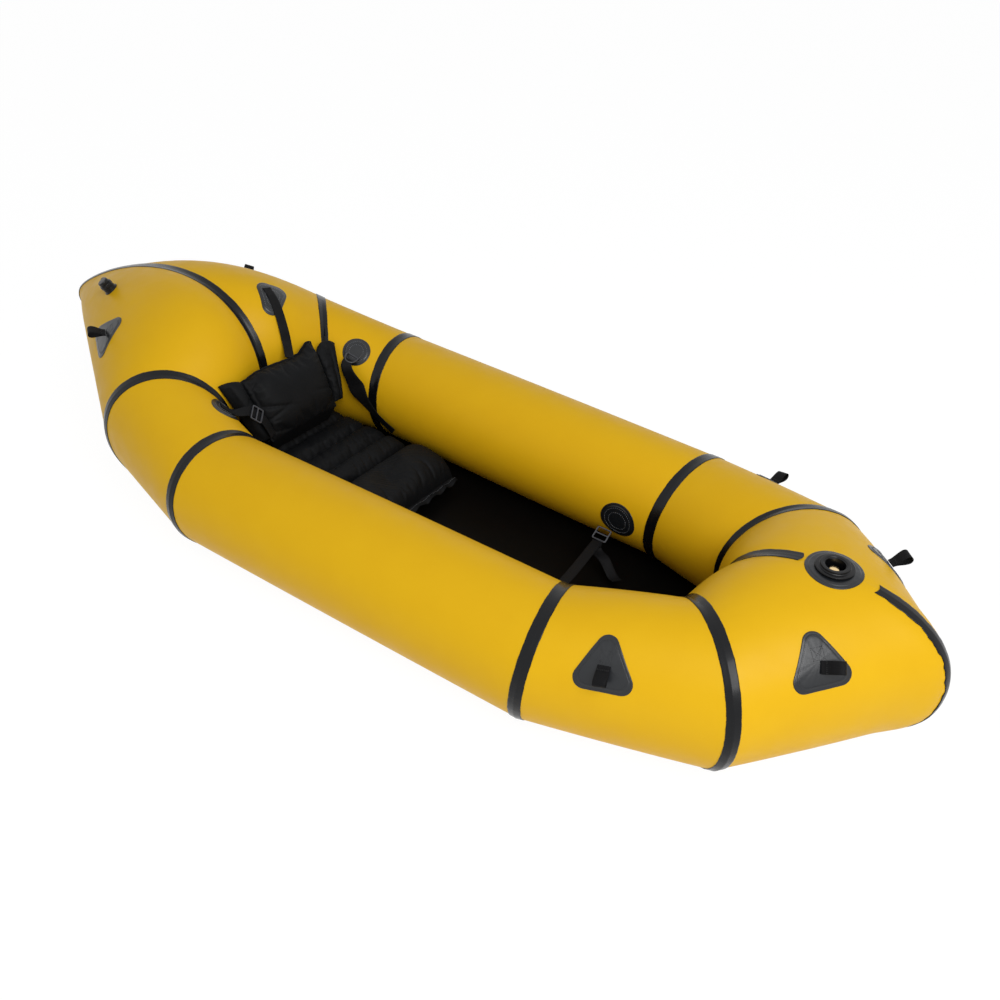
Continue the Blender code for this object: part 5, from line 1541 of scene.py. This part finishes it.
def cushion(name: str, upper: Array, lower: Array) -> tuple[Item, Array]:
    """Sew two grids of points together round their rims.

    Args:
        name: The object's name.
        upper: The points of the face that shows, rows by columns.
        lower: The points of the other face; its rim is taken from the upper one.

    Returns:
        The cushion, and the numbers of its rim's vertices.
    """
    rows, columns = upper.shape[:2]
    count = rows * columns
    numbers = np.arange(count).reshape(rows, columns)
    low = numbers + count
    rim = np.zeros((rows, columns), bool)
    rim[[0, -1]] = True
    rim[:, [0, -1]] = True
    low[rim] = numbers[rim]
    under = grid_faces(rows, columns, flip=True)
    faces = grid_faces(rows, columns) + low.ravel()[np.array(under)].tolist()
    points = np.concatenate((upper.reshape(-1, 3), lower.reshape(-1, 3)))
    item = new_item(name, points, faces, SEAT_CLOTH, sharp=75.0)
    work = bmesh.new()
    work.from_mesh(item.data)
    loose = [vertex for vertex in work.verts if not vertex.link_faces]
    bmesh.ops.delete(work, geom=loose, context="VERTS")
    bmesh.ops.recalc_face_normals(work, faces=work.faces)
    work.to_mesh(item.data)
    work.free()
    return item, numbers[rim]


def blown_up(node: str, body: str, upper: Array, lower: Array, sewn: Array, air: Inflation) -> Item:
    """Sew a padded piece, blow it up and round it with one applied subdivision.

    Args:
        node: The CAD node that it replaces.
        body: The CAD body that carries it.
        upper: The points of the face that shows, rows by columns.
        lower: The points of the other face.
        sewn: Which points of the upper face its inner seams hold.
        air: How it is blown up.

    Returns:
        The finished piece.
    """
    item, rim = cushion(f"{node}_cloth", upper, lower)
    air.run(item, np.concatenate((rim, np.flatnonzero(sewn), np.arange(sewn.size, len(item.data.vertices)))))
    modifier = item.modifiers.new("soft", "SUBSURF")
    modifier.levels = modifier.render_levels = 1
    old, item.data = item.data, evaluated(item)
    item.modifiers.remove(modifier)
    bpy.data.meshes.remove(old)
    item.data.shade_smooth()
    item.data.set_sharp_from_angle(angle=math.radians(75.0))
    return finish_item(item, body, SEAT_CLOTH, node)


@dataclass
class Seat:
    """The inflated seat: four sewn channels, a bolster before them and its ruffled front seam."""

    shape: HullShape
    rear: float = -0.460
    half_width: float = 0.1821
    pitch: float = 0.075
    channels: int = 4
    height: float = 0.080
    channel_depth: float = 0.019
    pinch: float = 0.0007
    rumple: float = 0.0008
    bolster_length: float = 0.155
    bolster_height: float = 0.098
    bolster_belly: float = 0.004
    front_taper: float = 0.018
    dimple: float = 0.020
    front_wrinkle: float = 0.0022
    back_wrinkle: float = 0.0012
    bolster_rumple: float = 0.0010
    fold_depth: float = 0.0055
    folds: tuple[tuple[float, ...], ...] = ((0.80, 0.10, 0.012, 0.50), (0.66, -0.05, 0.016, 0.56),
        (0.30, -0.12, 0.015, 0.50), (0.14, 0.06, 0.012, 0.60))
    base: float = 0.0147
    seam_start: float = -0.0037
    seam_reach: float = 0.0200
    seam_height: float = 0.0487
    seam_wave: float = 0.0044
    seam_half: float = 0.0012
    air: Inflation = Inflation(growth=0.035, cap=0.006)
    stitches: Stitching = Stitching(PALE_THREAD, 0.0055, 0.6, 0.0007)

    def bottom(self, x: Array, y: Array, rim: float, edge: Array) -> Array:
        """Rest the underside on the floor between the rims.

        Args:
            x: Where each point is along the boat.
            y: Where it is across.
            rim: The rim's height over the base.
            edge: The cushion's crown, 0 at its rim.

        Returns:
            The underside's points.
        """
        rest = self.shape.floor_height(x) + 0.0006
        height = self.base + rim - (self.base + rim - rest) * np.minimum(1.0, edge * 1.4)
        return np.stack(np.broadcast_arrays(x, y, height), -1)

    def channelled(self) -> None:
        """Make the channelled cushion."""
        u, v = face_shares(97, 73)
        length, rim = self.pitch * self.channels, self.height * 0.4
        edge = crown(v, 12.0) * crown(u, 10.0)
        x, y = self.rear + length * u, self.half_width * (2 * v - 1)
        valley = np.abs(np.cos(math.pi * self.channels * u)) ** 9
        pinch = self.pinch * (0.5 + 0.5 * np.sin(v * 2 * math.pi * 15 + 3 * wander(u * 20, 1.0)))
        groove = (self.channel_depth + pinch) * valley * (0.62 + 0.38 * crown(v, 4.0))
        top = self.base + rim + (self.height - rim - groove * crown(u, 20.0)) * edge
        rumple = self.rumple * wander(v * 34 + u * 9, 4.0) * edge * (1 - valley)
        item = blown_up("seat_cushion", HULL, np.stack((x, y, top + rumple), -1),
            self.bottom(x, y, rim, edge), valley > 0.97, self.air)

    def bolster(self) -> None:
        """Make the bolster, dimpled where its two faces are welded."""
        u, v = face_shares(57, 97)
        start, low = self.rear + self.pitch * self.channels + 0.0008, self.bolster_height * 0.35
        edge = crown(v, 9.0) * crown(u, 3.0)
        belly = self.bolster_belly * np.sin(math.pi * np.clip(u * 1.6, 0, 1))
        half = self.half_width + belly - self.front_taper * u ** 4
        x, y = start + self.bolster_length * u, half * (2 * v - 1)
        dimple = self.dimple * np.exp(-((u - 0.5) ** 2 * 14 + (v - 0.5) ** 2 * 60))
        top = self.base + low + (self.bolster_height - low - dimple) * edge
        front = self.front_wrinkle * np.exp(-((1 - u) / 0.16)) * (0.5 + 0.5 * ruffled(v, 17, 2.0, 19))
        back = self.back_wrinkle * np.exp(-u / 0.12) * (0.5 + 0.5 * np.sin(v * 2 * math.pi * 21))
        rumple = self.bolster_rumple * wander(v * 26 - u * 11, 7.0)
        rumple = (rumple - self.fold_depth * creases(u, v, self.folds)) * edge
        upper = np.stack((x, y, top - (front + back) * np.minimum(1, edge * 2) + rumple), -1)
        sewn = (np.abs(u - 0.5) < 0.03) & (np.abs(v - 0.5) < 0.015)
        item = blown_up("seat_bolster", HULL, upper, self.bottom(x, y, low, edge), sewn, self.air)

    def front_edge(self) -> None:
        """Make the bolster's front seam, which stands out flat and ruffles."""
        across, out = np.meshgrid(np.linspace(-1, 1, 240), np.linspace(0, 1, 9), indexing="ij")
        y = across * (self.half_width - self.front_taper - 0.0012)
        x = self.seam_start + self.seam_reach * out * (0.94 + 0.06 * wander(across * 9, 3.0))
        wave = self.seam_wave * np.sin(across * math.pi * 6.5 + 1.4 * wander(across * 6, 1.0)) * out
        middle = np.stack((x, y, self.seam_height + wave - 0.0030 * out), -1)
        half = UP * (self.seam_half * (1 - 0.5 * out))[..., None]
        item, _ = cushion("seat_front_edge_cloth", middle + half, middle - half)
        finish_item(item, HULL, SEAT_CLOTH, "seat_front_edge")
        self.stitches.sew("seat_front_edge_stitches", [middle[:, 3] + UP * 0.0014], HULL)

    def build(self) -> None:
        """Make the seat."""
        self.channelled()
        self.bolster()
        self.front_edge()


@dataclass(frozen=True)
class Wing:
    """What differs between the wings, in metres: fullness, corners, drooping ear, sweep, width, rise."""

    bulge: float
    rounding: float
    ear: float
    sweep: float
    widening: float
    lift: float


@dataclass
class Backrest:
    """The backrest: a pillow on a fabric hinge with a padded wing at each side."""

    hinge: Spot = (-0.385, 0.0, 0.1001)
    flap_reach: float = 0.025
    flap_height: float = 0.046
    height: float = 0.152
    recline: float = 0.091
    top_width: float = 0.254
    flap_width: float = 0.228
    bulge: float = 0.036
    flap_share: float = 0.2
    flap_bulge: float = 0.004
    draw: float = 0.0035
    ruffle: float = 0.0005
    side_ruffle: float = 0.0010
    edge_width: float = 0.0050
    edge_thickness: float = 0.0014
    head_edge: Profile = (
        (-1.0, -0.012), (-0.86, -0.0105), (-0.63, -0.0055), (-0.34, -0.0045), (0.0, -0.008), (0.34, -0.0120),
        (0.60, -0.0105), (0.72, -0.003), (0.85, 0.0045), (0.93, 0.0064), (1.0, 0.0030))
    folds: tuple[tuple[float, ...], ...] = ((0.52, 0.45, 0.020, 0.55), (0.30, -0.30, 0.022, 0.60),
        (0.12, 0.25, 0.020, 0.62))
    wing_top: float = 0.056
    wing_bottom: float = 0.029
    wing_height: float = 0.143
    wing_back: float = 0.40
    port_wing_keep: float = 0.5
    starboard: Wing = Wing(0.0135, 0.004, 0.012, 0.0165, -0.003, 0.009)
    port: Wing = Wing(0.0160, 0.020, 0.0, -0.004, 0.014, -0.008)
    air: Inflation = Inflation(growth=0.05, cap=0.007)
    wing_air: Inflation = Inflation(growth=0.03, cap=0.002)

    @property
    def up(self) -> Array:
        """Return the direction from the pillow's foot to its head."""
        return unit(np.array((-self.recline, 0.0, self.height)))

    @property
    def front(self) -> Array:
        """Return the direction that the pillow faces."""
        return np.array((self.up[2], 0.0, -self.up[0]))

    def seam(self, share: Array) -> Array:
        """Return the middle of the seam plane at shares of the pillow's height."""
        foot = np.array(self.hinge) + np.array((self.flap_reach, 0.0, self.flap_height))
        return foot + np.asarray(share)[..., None] * np.array((-self.recline, 0.0, self.height))

    def half_width(self, share: Array) -> Array:
        """Return half the pillow's width at shares of its height."""
        return (self.flap_width + (self.top_width - self.flap_width) * share) / 2

    def pillow(self) -> None:
        """Make the pillow and its flap, and the narrow welded edge that stands out round its seam."""
        flap = self.flap_share
        u, v = face_shares(65, 73)
        across = 2 * v - 1
        share = np.clip((u - flap) / (1 - flap), 0, 1)
        foot = self.seam(np.array(0.0)) - self.hinge
        low = np.array(self.hinge) + foot * np.minimum(u / flap, 1)[..., None]
        place = np.where((u < flap)[..., None], low, self.seam(share))
        peak = np.interp(across, *np.array(self.head_edge).T) * share ** 5
        place = place + self.up * peak[..., None]
        draw = self.draw * np.clip(1 - crown(v, 4.0) * crown(share, 4.0), 0, 1)
        ruffle = self.ruffle * ruffled(v, 11, 5.0, 14) * np.clip(share * 8 - 7, 0, 1)
        side_ruffle = ruffled(share, 8, 6.0, 11)
        puff = crown(share, 3.0) * crown(v, 4.0)
        pucker = 1 - 0.07 * (0.5 + 0.5 * ruffled(v, 7, 8.0, 9)) * np.clip(1.4 - puff * 1.4, 0, 1)
        slope_pucker = 1 - 0.10 * (0.5 + 0.5 * side_ruffle) * np.abs(across) ** 5
        pucker = pucker - 0.20 * creases(1 - v, share, self.folds) - 0.14 * creases(v, share, self.folds[1:])
        least = self.flap_bulge * crown(v, 12.0)
        thick = np.where(u < flap, np.minimum(self.flap_bulge, least * 1.3),
            np.maximum(least, self.bulge * puff * pucker * slope_pucker))
        inward = self.half_width(share) - draw * 0.5 + self.side_ruffle * side_ruffle * np.abs(across) ** 8
        middle = np.stack((place[..., 0], inward * across, place[..., 2] + ruffle), -1)
        upper, lower = self.faces(middle, thick, 1.0)
        item = blown_up("backrest_pillow", BACKREST, upper, lower, u <= flap + 0.02, self.air)
        ring = np.concatenate((middle[13:, 0], middle[-1, 1:-1], middle[13:, -1][::-1]))
        out = unit(np.cross(directions(ring), self.front))
        sign = np.sign(np.sum(out * (ring - middle.reshape(-1, 3).mean(0)), -1).mean())
        edge = ribbon("backrest_pillow_edge", ring + out * sign * 0.0010, out, self.edge_width,
            self.edge_thickness, SEAT_CLOTH)
        finish_item(edge, BACKREST, SEAT_CLOTH)

    def faces(self, middle: Array, thick: Array, back: float) -> tuple[Array, Array]:
        """Raise both faces off a seam plane; the outermost points stay on it.

        Args:
            middle: The plane's points, rows by columns.
            thick: How far the front stands off each.
            back: The back's share of that.

        Returns:
            The front's points and the back's.
        """
        rise = np.zeros_like(middle)
        rise[1:-1, 1:-1] = self.front * thick[1:-1, 1:-1, None]
        return middle + rise, middle - rise * back

    def wing(self, side: Side) -> None:
        """Make one wing, standing off the pillow's edge."""
        form = self.port if side is Side.PORT else self.starboard
        first = (self.height - self.wing_height) / self.height
        u, v = face_shares(49, 29)
        share = first + (1 - first) * u
        fall = (form.rounding * np.abs(2 * v - 1) ** 2.2 + form.ear * (1 - v)) * u ** 6
        place = self.seam(share) + self.up * (form.lift * u - fall)[..., None]
        width = self.wing_bottom + (self.wing_top + form.widening - self.wing_bottom) * u
        out = self.half_width(share) + 0.0008 + width * v
        lobe = 1 - 0.22 * np.exp(-((v - 0.62) / 0.10) ** 2) if side is Side.PORT else 1.0
        pucker = 1 - 0.10 * (0.5 + 0.5 * wander(u * 31 + v * 5, side.value)) * np.abs(2 * v - 1) ** 2
        thick = form.bulge * crown(u, 3.0) * crown(v, 3.0) * lobe * pucker
        middle = np.stack((place[..., 0], -side.value * out, place[..., 2]), -1)
        middle = middle - self.front * (form.sweep * v * v)[..., None]
        sewn = np.zeros(u.shape, bool)
        sewn[:, 18] = side is Side.PORT
        upper, lower = self.faces(middle, thick, self.wing_back)
        item = blown_up(f"backrest_wing_{side.label}", BACKREST, upper, lower, sewn, self.wing_air)
        if side is Side.PORT:
            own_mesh(item)

    def build(self) -> None:
        """Make the backrest."""
        self.pillow()
        for side in Side:
            self.wing(side)


# Hardware.

@dataclass
class LadderLock:
    """A moulded ladder lock: a frame, a middle bar and a ribbed lip."""

    node: str
    place: Matrix
    body: str
    length: float = 0.034
    width: float = 0.038
    bar: float = 0.0032
    depth: float = 0.0034
    bevel: float = 0.0006
    ribs: int = 4
    rib_radius: float = 0.00035

    def box(self, low: float, high: float, half: float, cut: float) -> Array:
        """Draw a rectangle with rounded corners.

        Args:
            low: Where it starts along the lock.
            high: Where it ends.
            half: Half its width.
            cut: Its corners' radius.

        Returns:
            Its outline.
        """
        corners = ((low + cut, -half + cut), (high - cut, -half + cut),
            (high - cut, half - cut), (low + cut, half - cut))
        return rounded_shape(corners, cut, 48)

    def build(self) -> None:
        """Make the lock and let it ride on its body."""
        half, wide = self.length / 2, self.width / 2
        slot, inner = wide - self.bar, self.bar / 2
        outlines = (self.box(-half, half, wide, self.bar), self.box(-half + self.bar, -inner, slot, 0.0011),
            self.box(inner, half - self.bar, slot, 0.0011))
        curve = bpy.data.curves.new(self.node, "CURVE")
        curve.dimensions = "2D"
        curve.fill_mode = "BOTH"
        curve.extrude = self.depth / 2 - self.bevel
        curve.bevel_depth = self.bevel
        curve.bevel_resolution = 2
        curve.offset = -self.bevel
        for outline in outlines:
            spline = curve.splines.new("POLY")
            spline.points.add(len(outline) - 1)
            for point, position in zip(spline.points, outline):
                point.co = (*position, 0.0, 1.0)
            spline.use_cyclic_u = True
        drawn = linked(f"{self.node}_curve", curve)
        mesh = evaluated(drawn)
        bpy.data.objects.remove(drawn, do_unlink=True)
        mesh.transform(self.place)
        outward(mesh, TINY)
        item = link_item(f"{self.node}_moulding", mesh, ACETAL, 35.0)
        finish_item(item, self.body, ACETAL, self.node)
        for index in range(self.ribs):
            x = half - self.bar * 0.85 + index * self.bar * 0.28
            ends = np.array(((x, -slot * 0.82, self.depth / 2), (x, slot * 0.82, self.depth / 2)))
            line = placed(dense(ends, 0.004, closed=False), self.place)
            rib = tube(f"{self.node}_rib_{index}", line, self.rib_radius, ACETAL, sides=8)
            finish_item(rib, self.body, ACETAL)


@dataclass
class Hardware:
    """The two ladder locks and the D-ring."""

    ring_half: float = 0.017
    ring_reach: float = 0.026
    wire: float = 0.0020

    def build(self) -> None:
        """Make the hardware."""
        LadderLock("foot_ladder_lock", axes_matrix(*FOOT_LOCK), HULL).build()
        LadderLock("ladder_lock_starboard", axes_matrix(*SIDE_LOCK), BACKREST).build()
        turns = np.linspace(0, math.pi, 40)
        bow = np.stack((self.ring_half * np.cos(turns),
            self.ring_reach * np.clip(np.sin(turns), 0, 1) ** 0.7, 0 * turns), -1)
        bar = np.linspace(-self.ring_half, self.ring_half, 14)[1:-1, None] * np.array((1.0, 0.0, 0.0))
        ring = placed(dense(np.concatenate((bow, bar)), 0.0012)[:-1], axes_matrix(*D_RING))
        item = tube("d_ring_port_wire", ring, self.wire, ACETAL, closed=True, sides=16)
        finish_item(item, HULL, ACETAL, "d_ring_port")


def fillet(points: Sequence[tuple[float, float]], radius: float) -> list[tuple[float, float]]:
    """Round the inner corners of a turned profile.

    Args:
        points: Radius and height of each corner.
        radius: How far each corner is cut back before it is rounded.

    Returns:
        The profile with each corner as a short arc.
    """
    smooth = [points[0]]
    for before, corner, after in zip(points, points[1:], points[2:]):
        a, b, c = Vector(before), Vector(corner), Vector(after)
        cut = min(radius, (a - b).length * 0.45, (c - b).length * 0.45)
        start, end = b + (a - b).normalized() * cut, b + (c - b).normalized() * cut
        for t in (0.0, 0.33, 0.67, 1.0):
            spot = start.lerp(b, t).lerp(b.lerp(end, t), t)
            smooth.append((spot.x, spot.y))
    return smooth + [points[-1]]


@dataclass
class BowValve:
    """The bow's inflation valve: a collar round a deep cup, with a spring stem on spokes."""

    place: Matrix = field(default_factory=lambda: axes_matrix(
        (1.01307, 0.0, 0.37879), (0.0, 1.0, 0.0), (-0.011, 0.0, 0.9999)))
    flange: float = 0.0375
    collar: float = 0.0285
    bore: float = 0.0195
    cup: float = 0.0225
    rounding: float = 0.0006
    spokes: int = 4
    spoke_ends: tuple[float, float] = (0.0052, 0.0200)
    spoke_drop: float = 0.0145
    lugs: int = 2
    lug_reach: float = 0.0190
    lug_turn: float = 36.0
    boss: Profile = ((0.0046, -0.0172), (0.0070, -0.0172), (0.0070, -0.0128), (0.0046, -0.0128))
    stem: Profile = (
        (0.0, -0.0120), (0.004, -0.0120), (0.004, -0.0074), (0.0105, -0.0074), (0.0105, -0.0050),
        (0.0090, -0.0038), (0.0050, -0.0030), (0.0, -0.0027))

    def build(self) -> None:
        """Make the valve's body, its spokes, boss and lugs, and its stem."""
        profile = ((0.0, -0.0205), (self.cup, -0.0205), (self.cup, 0.0001), (self.flange, 0.0001),
            (self.flange, 0.0026), (self.flange - 0.002, 0.0035), (self.collar + 0.0015, 0.0035),
            (self.collar, 0.0050), (self.collar, 0.0085), (self.bore + 0.0028, 0.0085),
            (self.bore + 0.0018, 0.0068), (self.bore, 0.0068), (self.bore, -0.0175), (0.0, -0.0175))
        body = lathe("bow_valve_body_moulding", fillet(profile, self.rounding), self.place, VALVE_TPU, 96)
        finish_item(body, HULL, VALVE_TPU, "bow_valve_body")
        for index in range(self.spokes):
            turn = math.radians(45 + 360 * index / self.spokes)
            ends = np.array([(reach * math.cos(turn), reach * math.sin(turn), -self.spoke_drop)
                for reach in self.spoke_ends])
            self.rib(f"bow_valve_spoke_{index}", dense(ends, closed=False), 0.0028)
        boss = lathe("bow_valve_boss", self.boss, self.place, VALVE_TPU, 40)
        finish_item(boss, HULL, VALVE_TPU)
        for index in range(self.lugs):
            turn = math.radians(20 + 360 * index / self.lugs)
            arc = np.linspace(turn, turn + math.radians(self.lug_turn), 12)
            line = np.stack((np.cos(arc) * self.lug_reach, np.sin(arc) * self.lug_reach,
                0 * arc + 0.0048), -1)
            self.rib(f"bow_valve_lug_{index}", line, 0.0026)
        stem = lathe("bow_valve_stem_brass", fillet(self.stem, self.rounding), self.place, STEM_BRASS, 48)
        finish_item(stem, "valve_stem", STEM_BRASS, "bow_valve_stem")

    def rib(self, name: str, line: Array, height: float) -> None:
        """Mould an upright rib in the valve's bore.

        Args:
            name: The object's name.
            line: Its middle line, in the valve's own frame.
            height: How high it stands.
        """
        up = np.tile(np.array(self.place)[:3, 2], (len(line), 1))
        item = ribbon(name, placed(line, self.place), up, height, 0.0020, VALVE_TPU)
        finish_item(item, HULL, VALVE_TPU)


@dataclass
class SternValve:
    """The stern's top-up valve: a welded base, a threaded core, a ribbed ring and a cap."""

    place: Matrix = field(default_factory=lambda: axes_matrix(
        (-0.92607, -0.11586, 0.38731), (0.8215, -0.5701, -0.0023), (-0.335, -0.486, 0.8072)))
    base: Profile = ((0.0, 0.0001), (0.0190, 0.0001), (0.0190, 0.0024), (0.0180, 0.0034), (0.0165, 0.0036),
        (0.0160, 0.0042), (0.0160, 0.0110), (0.0116, 0.0110), (0.0116, 0.0042), (0.0, 0.0042))
    core: Profile = (
        (0.0, 0.0048), (0.0112, 0.0048), (0.0112, 0.0113), (0.0152, 0.0113), (0.0152, 0.0143), (0.0, 0.0143))
    ring: Profile = ((0.0, 0.0146), (0.0172, 0.0146), (0.0172, 0.0166), (0.0172, 0.0186), (0.0172, 0.0206),
        (0.0166, 0.0226), (0.0, 0.0226))
    cap: Profile = ((0.0, 0.0229), (0.0140, 0.0229), (0.0140, 0.0255), (0.0140, 0.0275), (0.0140, 0.0300),
        (0.0131, 0.0329), (0.0, 0.0329))
    eyelet: float = 0.0042
    eyelet_wire: float = 0.0013

    def ribs(self, turns: Array, heights: Array) -> Array:
        """Return the ring's twelve finger ribs as a share of its radius."""
        middle = np.clip(1 - np.abs(heights - 0.0186) / 0.0042, 0, 1) ** 0.35
        return -0.045 * middle * (0.5 - 0.5 * np.cos(turns * 12)) ** 1.5

    def knurl(self, turns: Array, heights: Array) -> Array:
        """Return the cap's fine grip as a share of its radius."""
        middle = np.clip(1 - np.abs(heights - 0.0275) / 0.0040, 0, 1) ** 0.3
        return -0.022 * middle * (0.5 - 0.5 * np.cos(turns * 24))

    def build(self) -> None:
        """Make the four turned pieces and the eyelet on the cap."""
        for kind, body, profile, rounding, sides, sharp, ripple in (
                ("base", HULL, self.base, 0.0006, 72, 35.0, None),
                ("core", "valve_core", self.core, 0.0005, 64, 35.0, None),
                ("ring", "valve_ring", self.ring, 0.0006, 144, 40.0, self.ribs),
                ("cap", "valve_cap", self.cap, 0.0006, 192, 40.0, self.knurl)):
            item = lathe(f"stern_valve_{kind}_moulding", fillet(profile, rounding), self.place, VALVE_TPU,
                sides, sharp, ripple)
            finish_item(item, body, VALVE_TPU, f"stern_valve_{kind}")
        rim = disc(self.eyelet, 32) - (self.cap[1][0] + self.eyelet - 0.0006, 0.0)
        line = placed(np.column_stack((rim, np.full(32, 0.0303))), self.place)
        eyelet = tube("stern_valve_cap_eyelet", line, self.eyelet_wire, VALVE_TPU, closed=True)
        finish_item(eyelet, "valve_cap", VALVE_TPU)


# Studio.

@dataclass
class Studio:
    """A pale floor, soft light and the camera of the photograph."""

    position: Spot = (1.32924, -1.61184, 1.57564)
    azimuth: float = -56.368
    elevation: float = 35.674
    roll: float = 3.421
    focal: float = 37.358
    floor_radius: float = 14.0
    floor_drop: float = 0.0004
    key_spot: Spot = (2.9, -1.9, 3.5)
    key_size: float = 2.8
    key_power: float = 148.0
    fill_strength: float = 0.335
    floor_glow: float = 1.06
    floor_share: float = 0.90
    aim: Spot = (0.0, 0.0, 0.15)

    def camera(self) -> None:
        """Set the camera where the photograph was taken."""
        az, el, roll = (math.radians(value) for value in (self.azimuth, self.elevation, self.roll))
        back = Vector((math.cos(az) * math.cos(el), math.sin(az) * math.cos(el), math.sin(el)))
        right = Vector((-math.sin(az), math.cos(az), 0.0))
        up = back.cross(right)
        x = right * math.cos(roll) + up * math.sin(roll)
        y = up * math.cos(roll) - right * math.sin(roll)
        lens = bpy.data.cameras.new("photograph")
        lens.lens = self.focal
        lens.sensor_width = 36.0
        lens.clip_end = 50.0
        item = linked("photograph", lens)
        item.matrix_world = Matrix.Translation(self.position) @ Matrix((x, y, back)).transposed().to_4x4()
        bpy.context.scene.camera = item

    def seen(self, tree: Tree) -> Socket:
        """Tell rays from the camera, off gloss or through glass from the rest.

        Args:
            tree: The tree that gets the nodes.

        Returns:
            1 for those rays and 0 for the rest.
        """
        path = add_node(tree, "ShaderNodeLightPath").outputs
        first = add_node(tree, "ShaderNodeMath", {"operation": "MAXIMUM"},
            {0: path["Is Camera Ray"], 1: path["Is Transmission Ray"]})
        both = add_node(tree, "ShaderNodeMath", {"operation": "MAXIMUM"},
            {0: first.outputs[0], 1: path["Is Glossy Ray"]})
        return both.outputs[0]

    def world(self) -> None:
        """Set a pale world that the camera sees as white."""
        world = bpy.data.worlds.new("studio")
        bpy.context.scene.world = world
        world.use_nodes = True
        tree = world.node_tree
        fill = tree.nodes["Background"]
        fill.inputs["Color"].default_value = linear("#F4F6FA")
        fill.inputs["Strength"].default_value = self.fill_strength
        white = add_node(tree, "ShaderNodeBackground",
            values={"Color": (1.0, 1.0, 1.0, 1.0), "Strength": 1.0})
        both = add_node(tree, "ShaderNodeMixShader", links={
            0: self.seen(tree), 1: fill.outputs[0], 2: white.outputs[0]})
        tree.links.new(both.outputs[0], tree.nodes["World Output"].inputs["Surface"])

    def floor(self) -> None:
        """Lay a pale floor that keeps a soft shadow."""
        made = bpy.data.materials.new("Studio floor, white paper")
        made.use_nodes = True
        tree = made.node_tree
        shader = tree.nodes["Principled BSDF"]
        shader.inputs["Base Color"].default_value = linear("#F2F2F0")
        shader.inputs["Roughness"].default_value = 0.9
        glow = add_node(tree, "ShaderNodeEmission",
            values={"Color": (1.0, 1.0, 1.0, 1.0), "Strength": self.floor_glow})
        share = add_node(tree, "ShaderNodeMath", {"operation": "MULTIPLY"}, {0: self.seen(tree)},
            {1: self.floor_share})
        both = add_node(tree, "ShaderNodeMixShader", links={
            0: share.outputs[0], 1: shader.outputs[0], 2: glow.outputs[0]})
        tree.links.new(both.outputs[0], tree.nodes["Material Output"].inputs["Surface"])
        rim = disc(self.floor_radius)
        points = np.column_stack((rim, np.full(len(rim), -self.floor_drop)))
        mesh = bpy.data.meshes.new("studio_floor")
        mesh.from_pydata(points.tolist(), [], [tuple(range(len(rim)))])
        mesh.materials.append(made)
        item = linked("studio_floor", mesh)

    def lamp(self) -> None:
        """Hang a soft square lamp that looks at the middle of the boat."""
        light = bpy.data.lights.new("key", "AREA")
        light.shape = "SQUARE"
        light.size = self.key_size
        light.energy = self.key_power
        turn = (Vector(self.aim) - Vector(self.key_spot)).to_track_quat("-Z", "Y").to_matrix().to_4x4()
        linked("key", light).matrix_world = Matrix.Translation(self.key_spot) @ turn

    def build(self) -> None:
        """Set up the studio."""
        bpy.context.scene.view_settings.view_transform = "Standard"
        self.camera()
        self.world()
        self.floor()
        self.lamp()


def main() -> None:
    """Build every sub-assembly in order."""
    logging.basicConfig(level=logging.INFO, format="%(message)s")
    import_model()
    shape = HullShape()
    patches = Patches(shape)
    for part in (Studio(), Tubes(shape), Tapes(shape), FloorSheet(shape), patches, TieLoops(),
            Straps(shape, patches), Seat(shape), Backrest(), Hardware(), BowValve(), SternValve()):
        part.build()
        LOG.info("%s done", type(part).__name__)


if __name__ == "__main__":
    main()
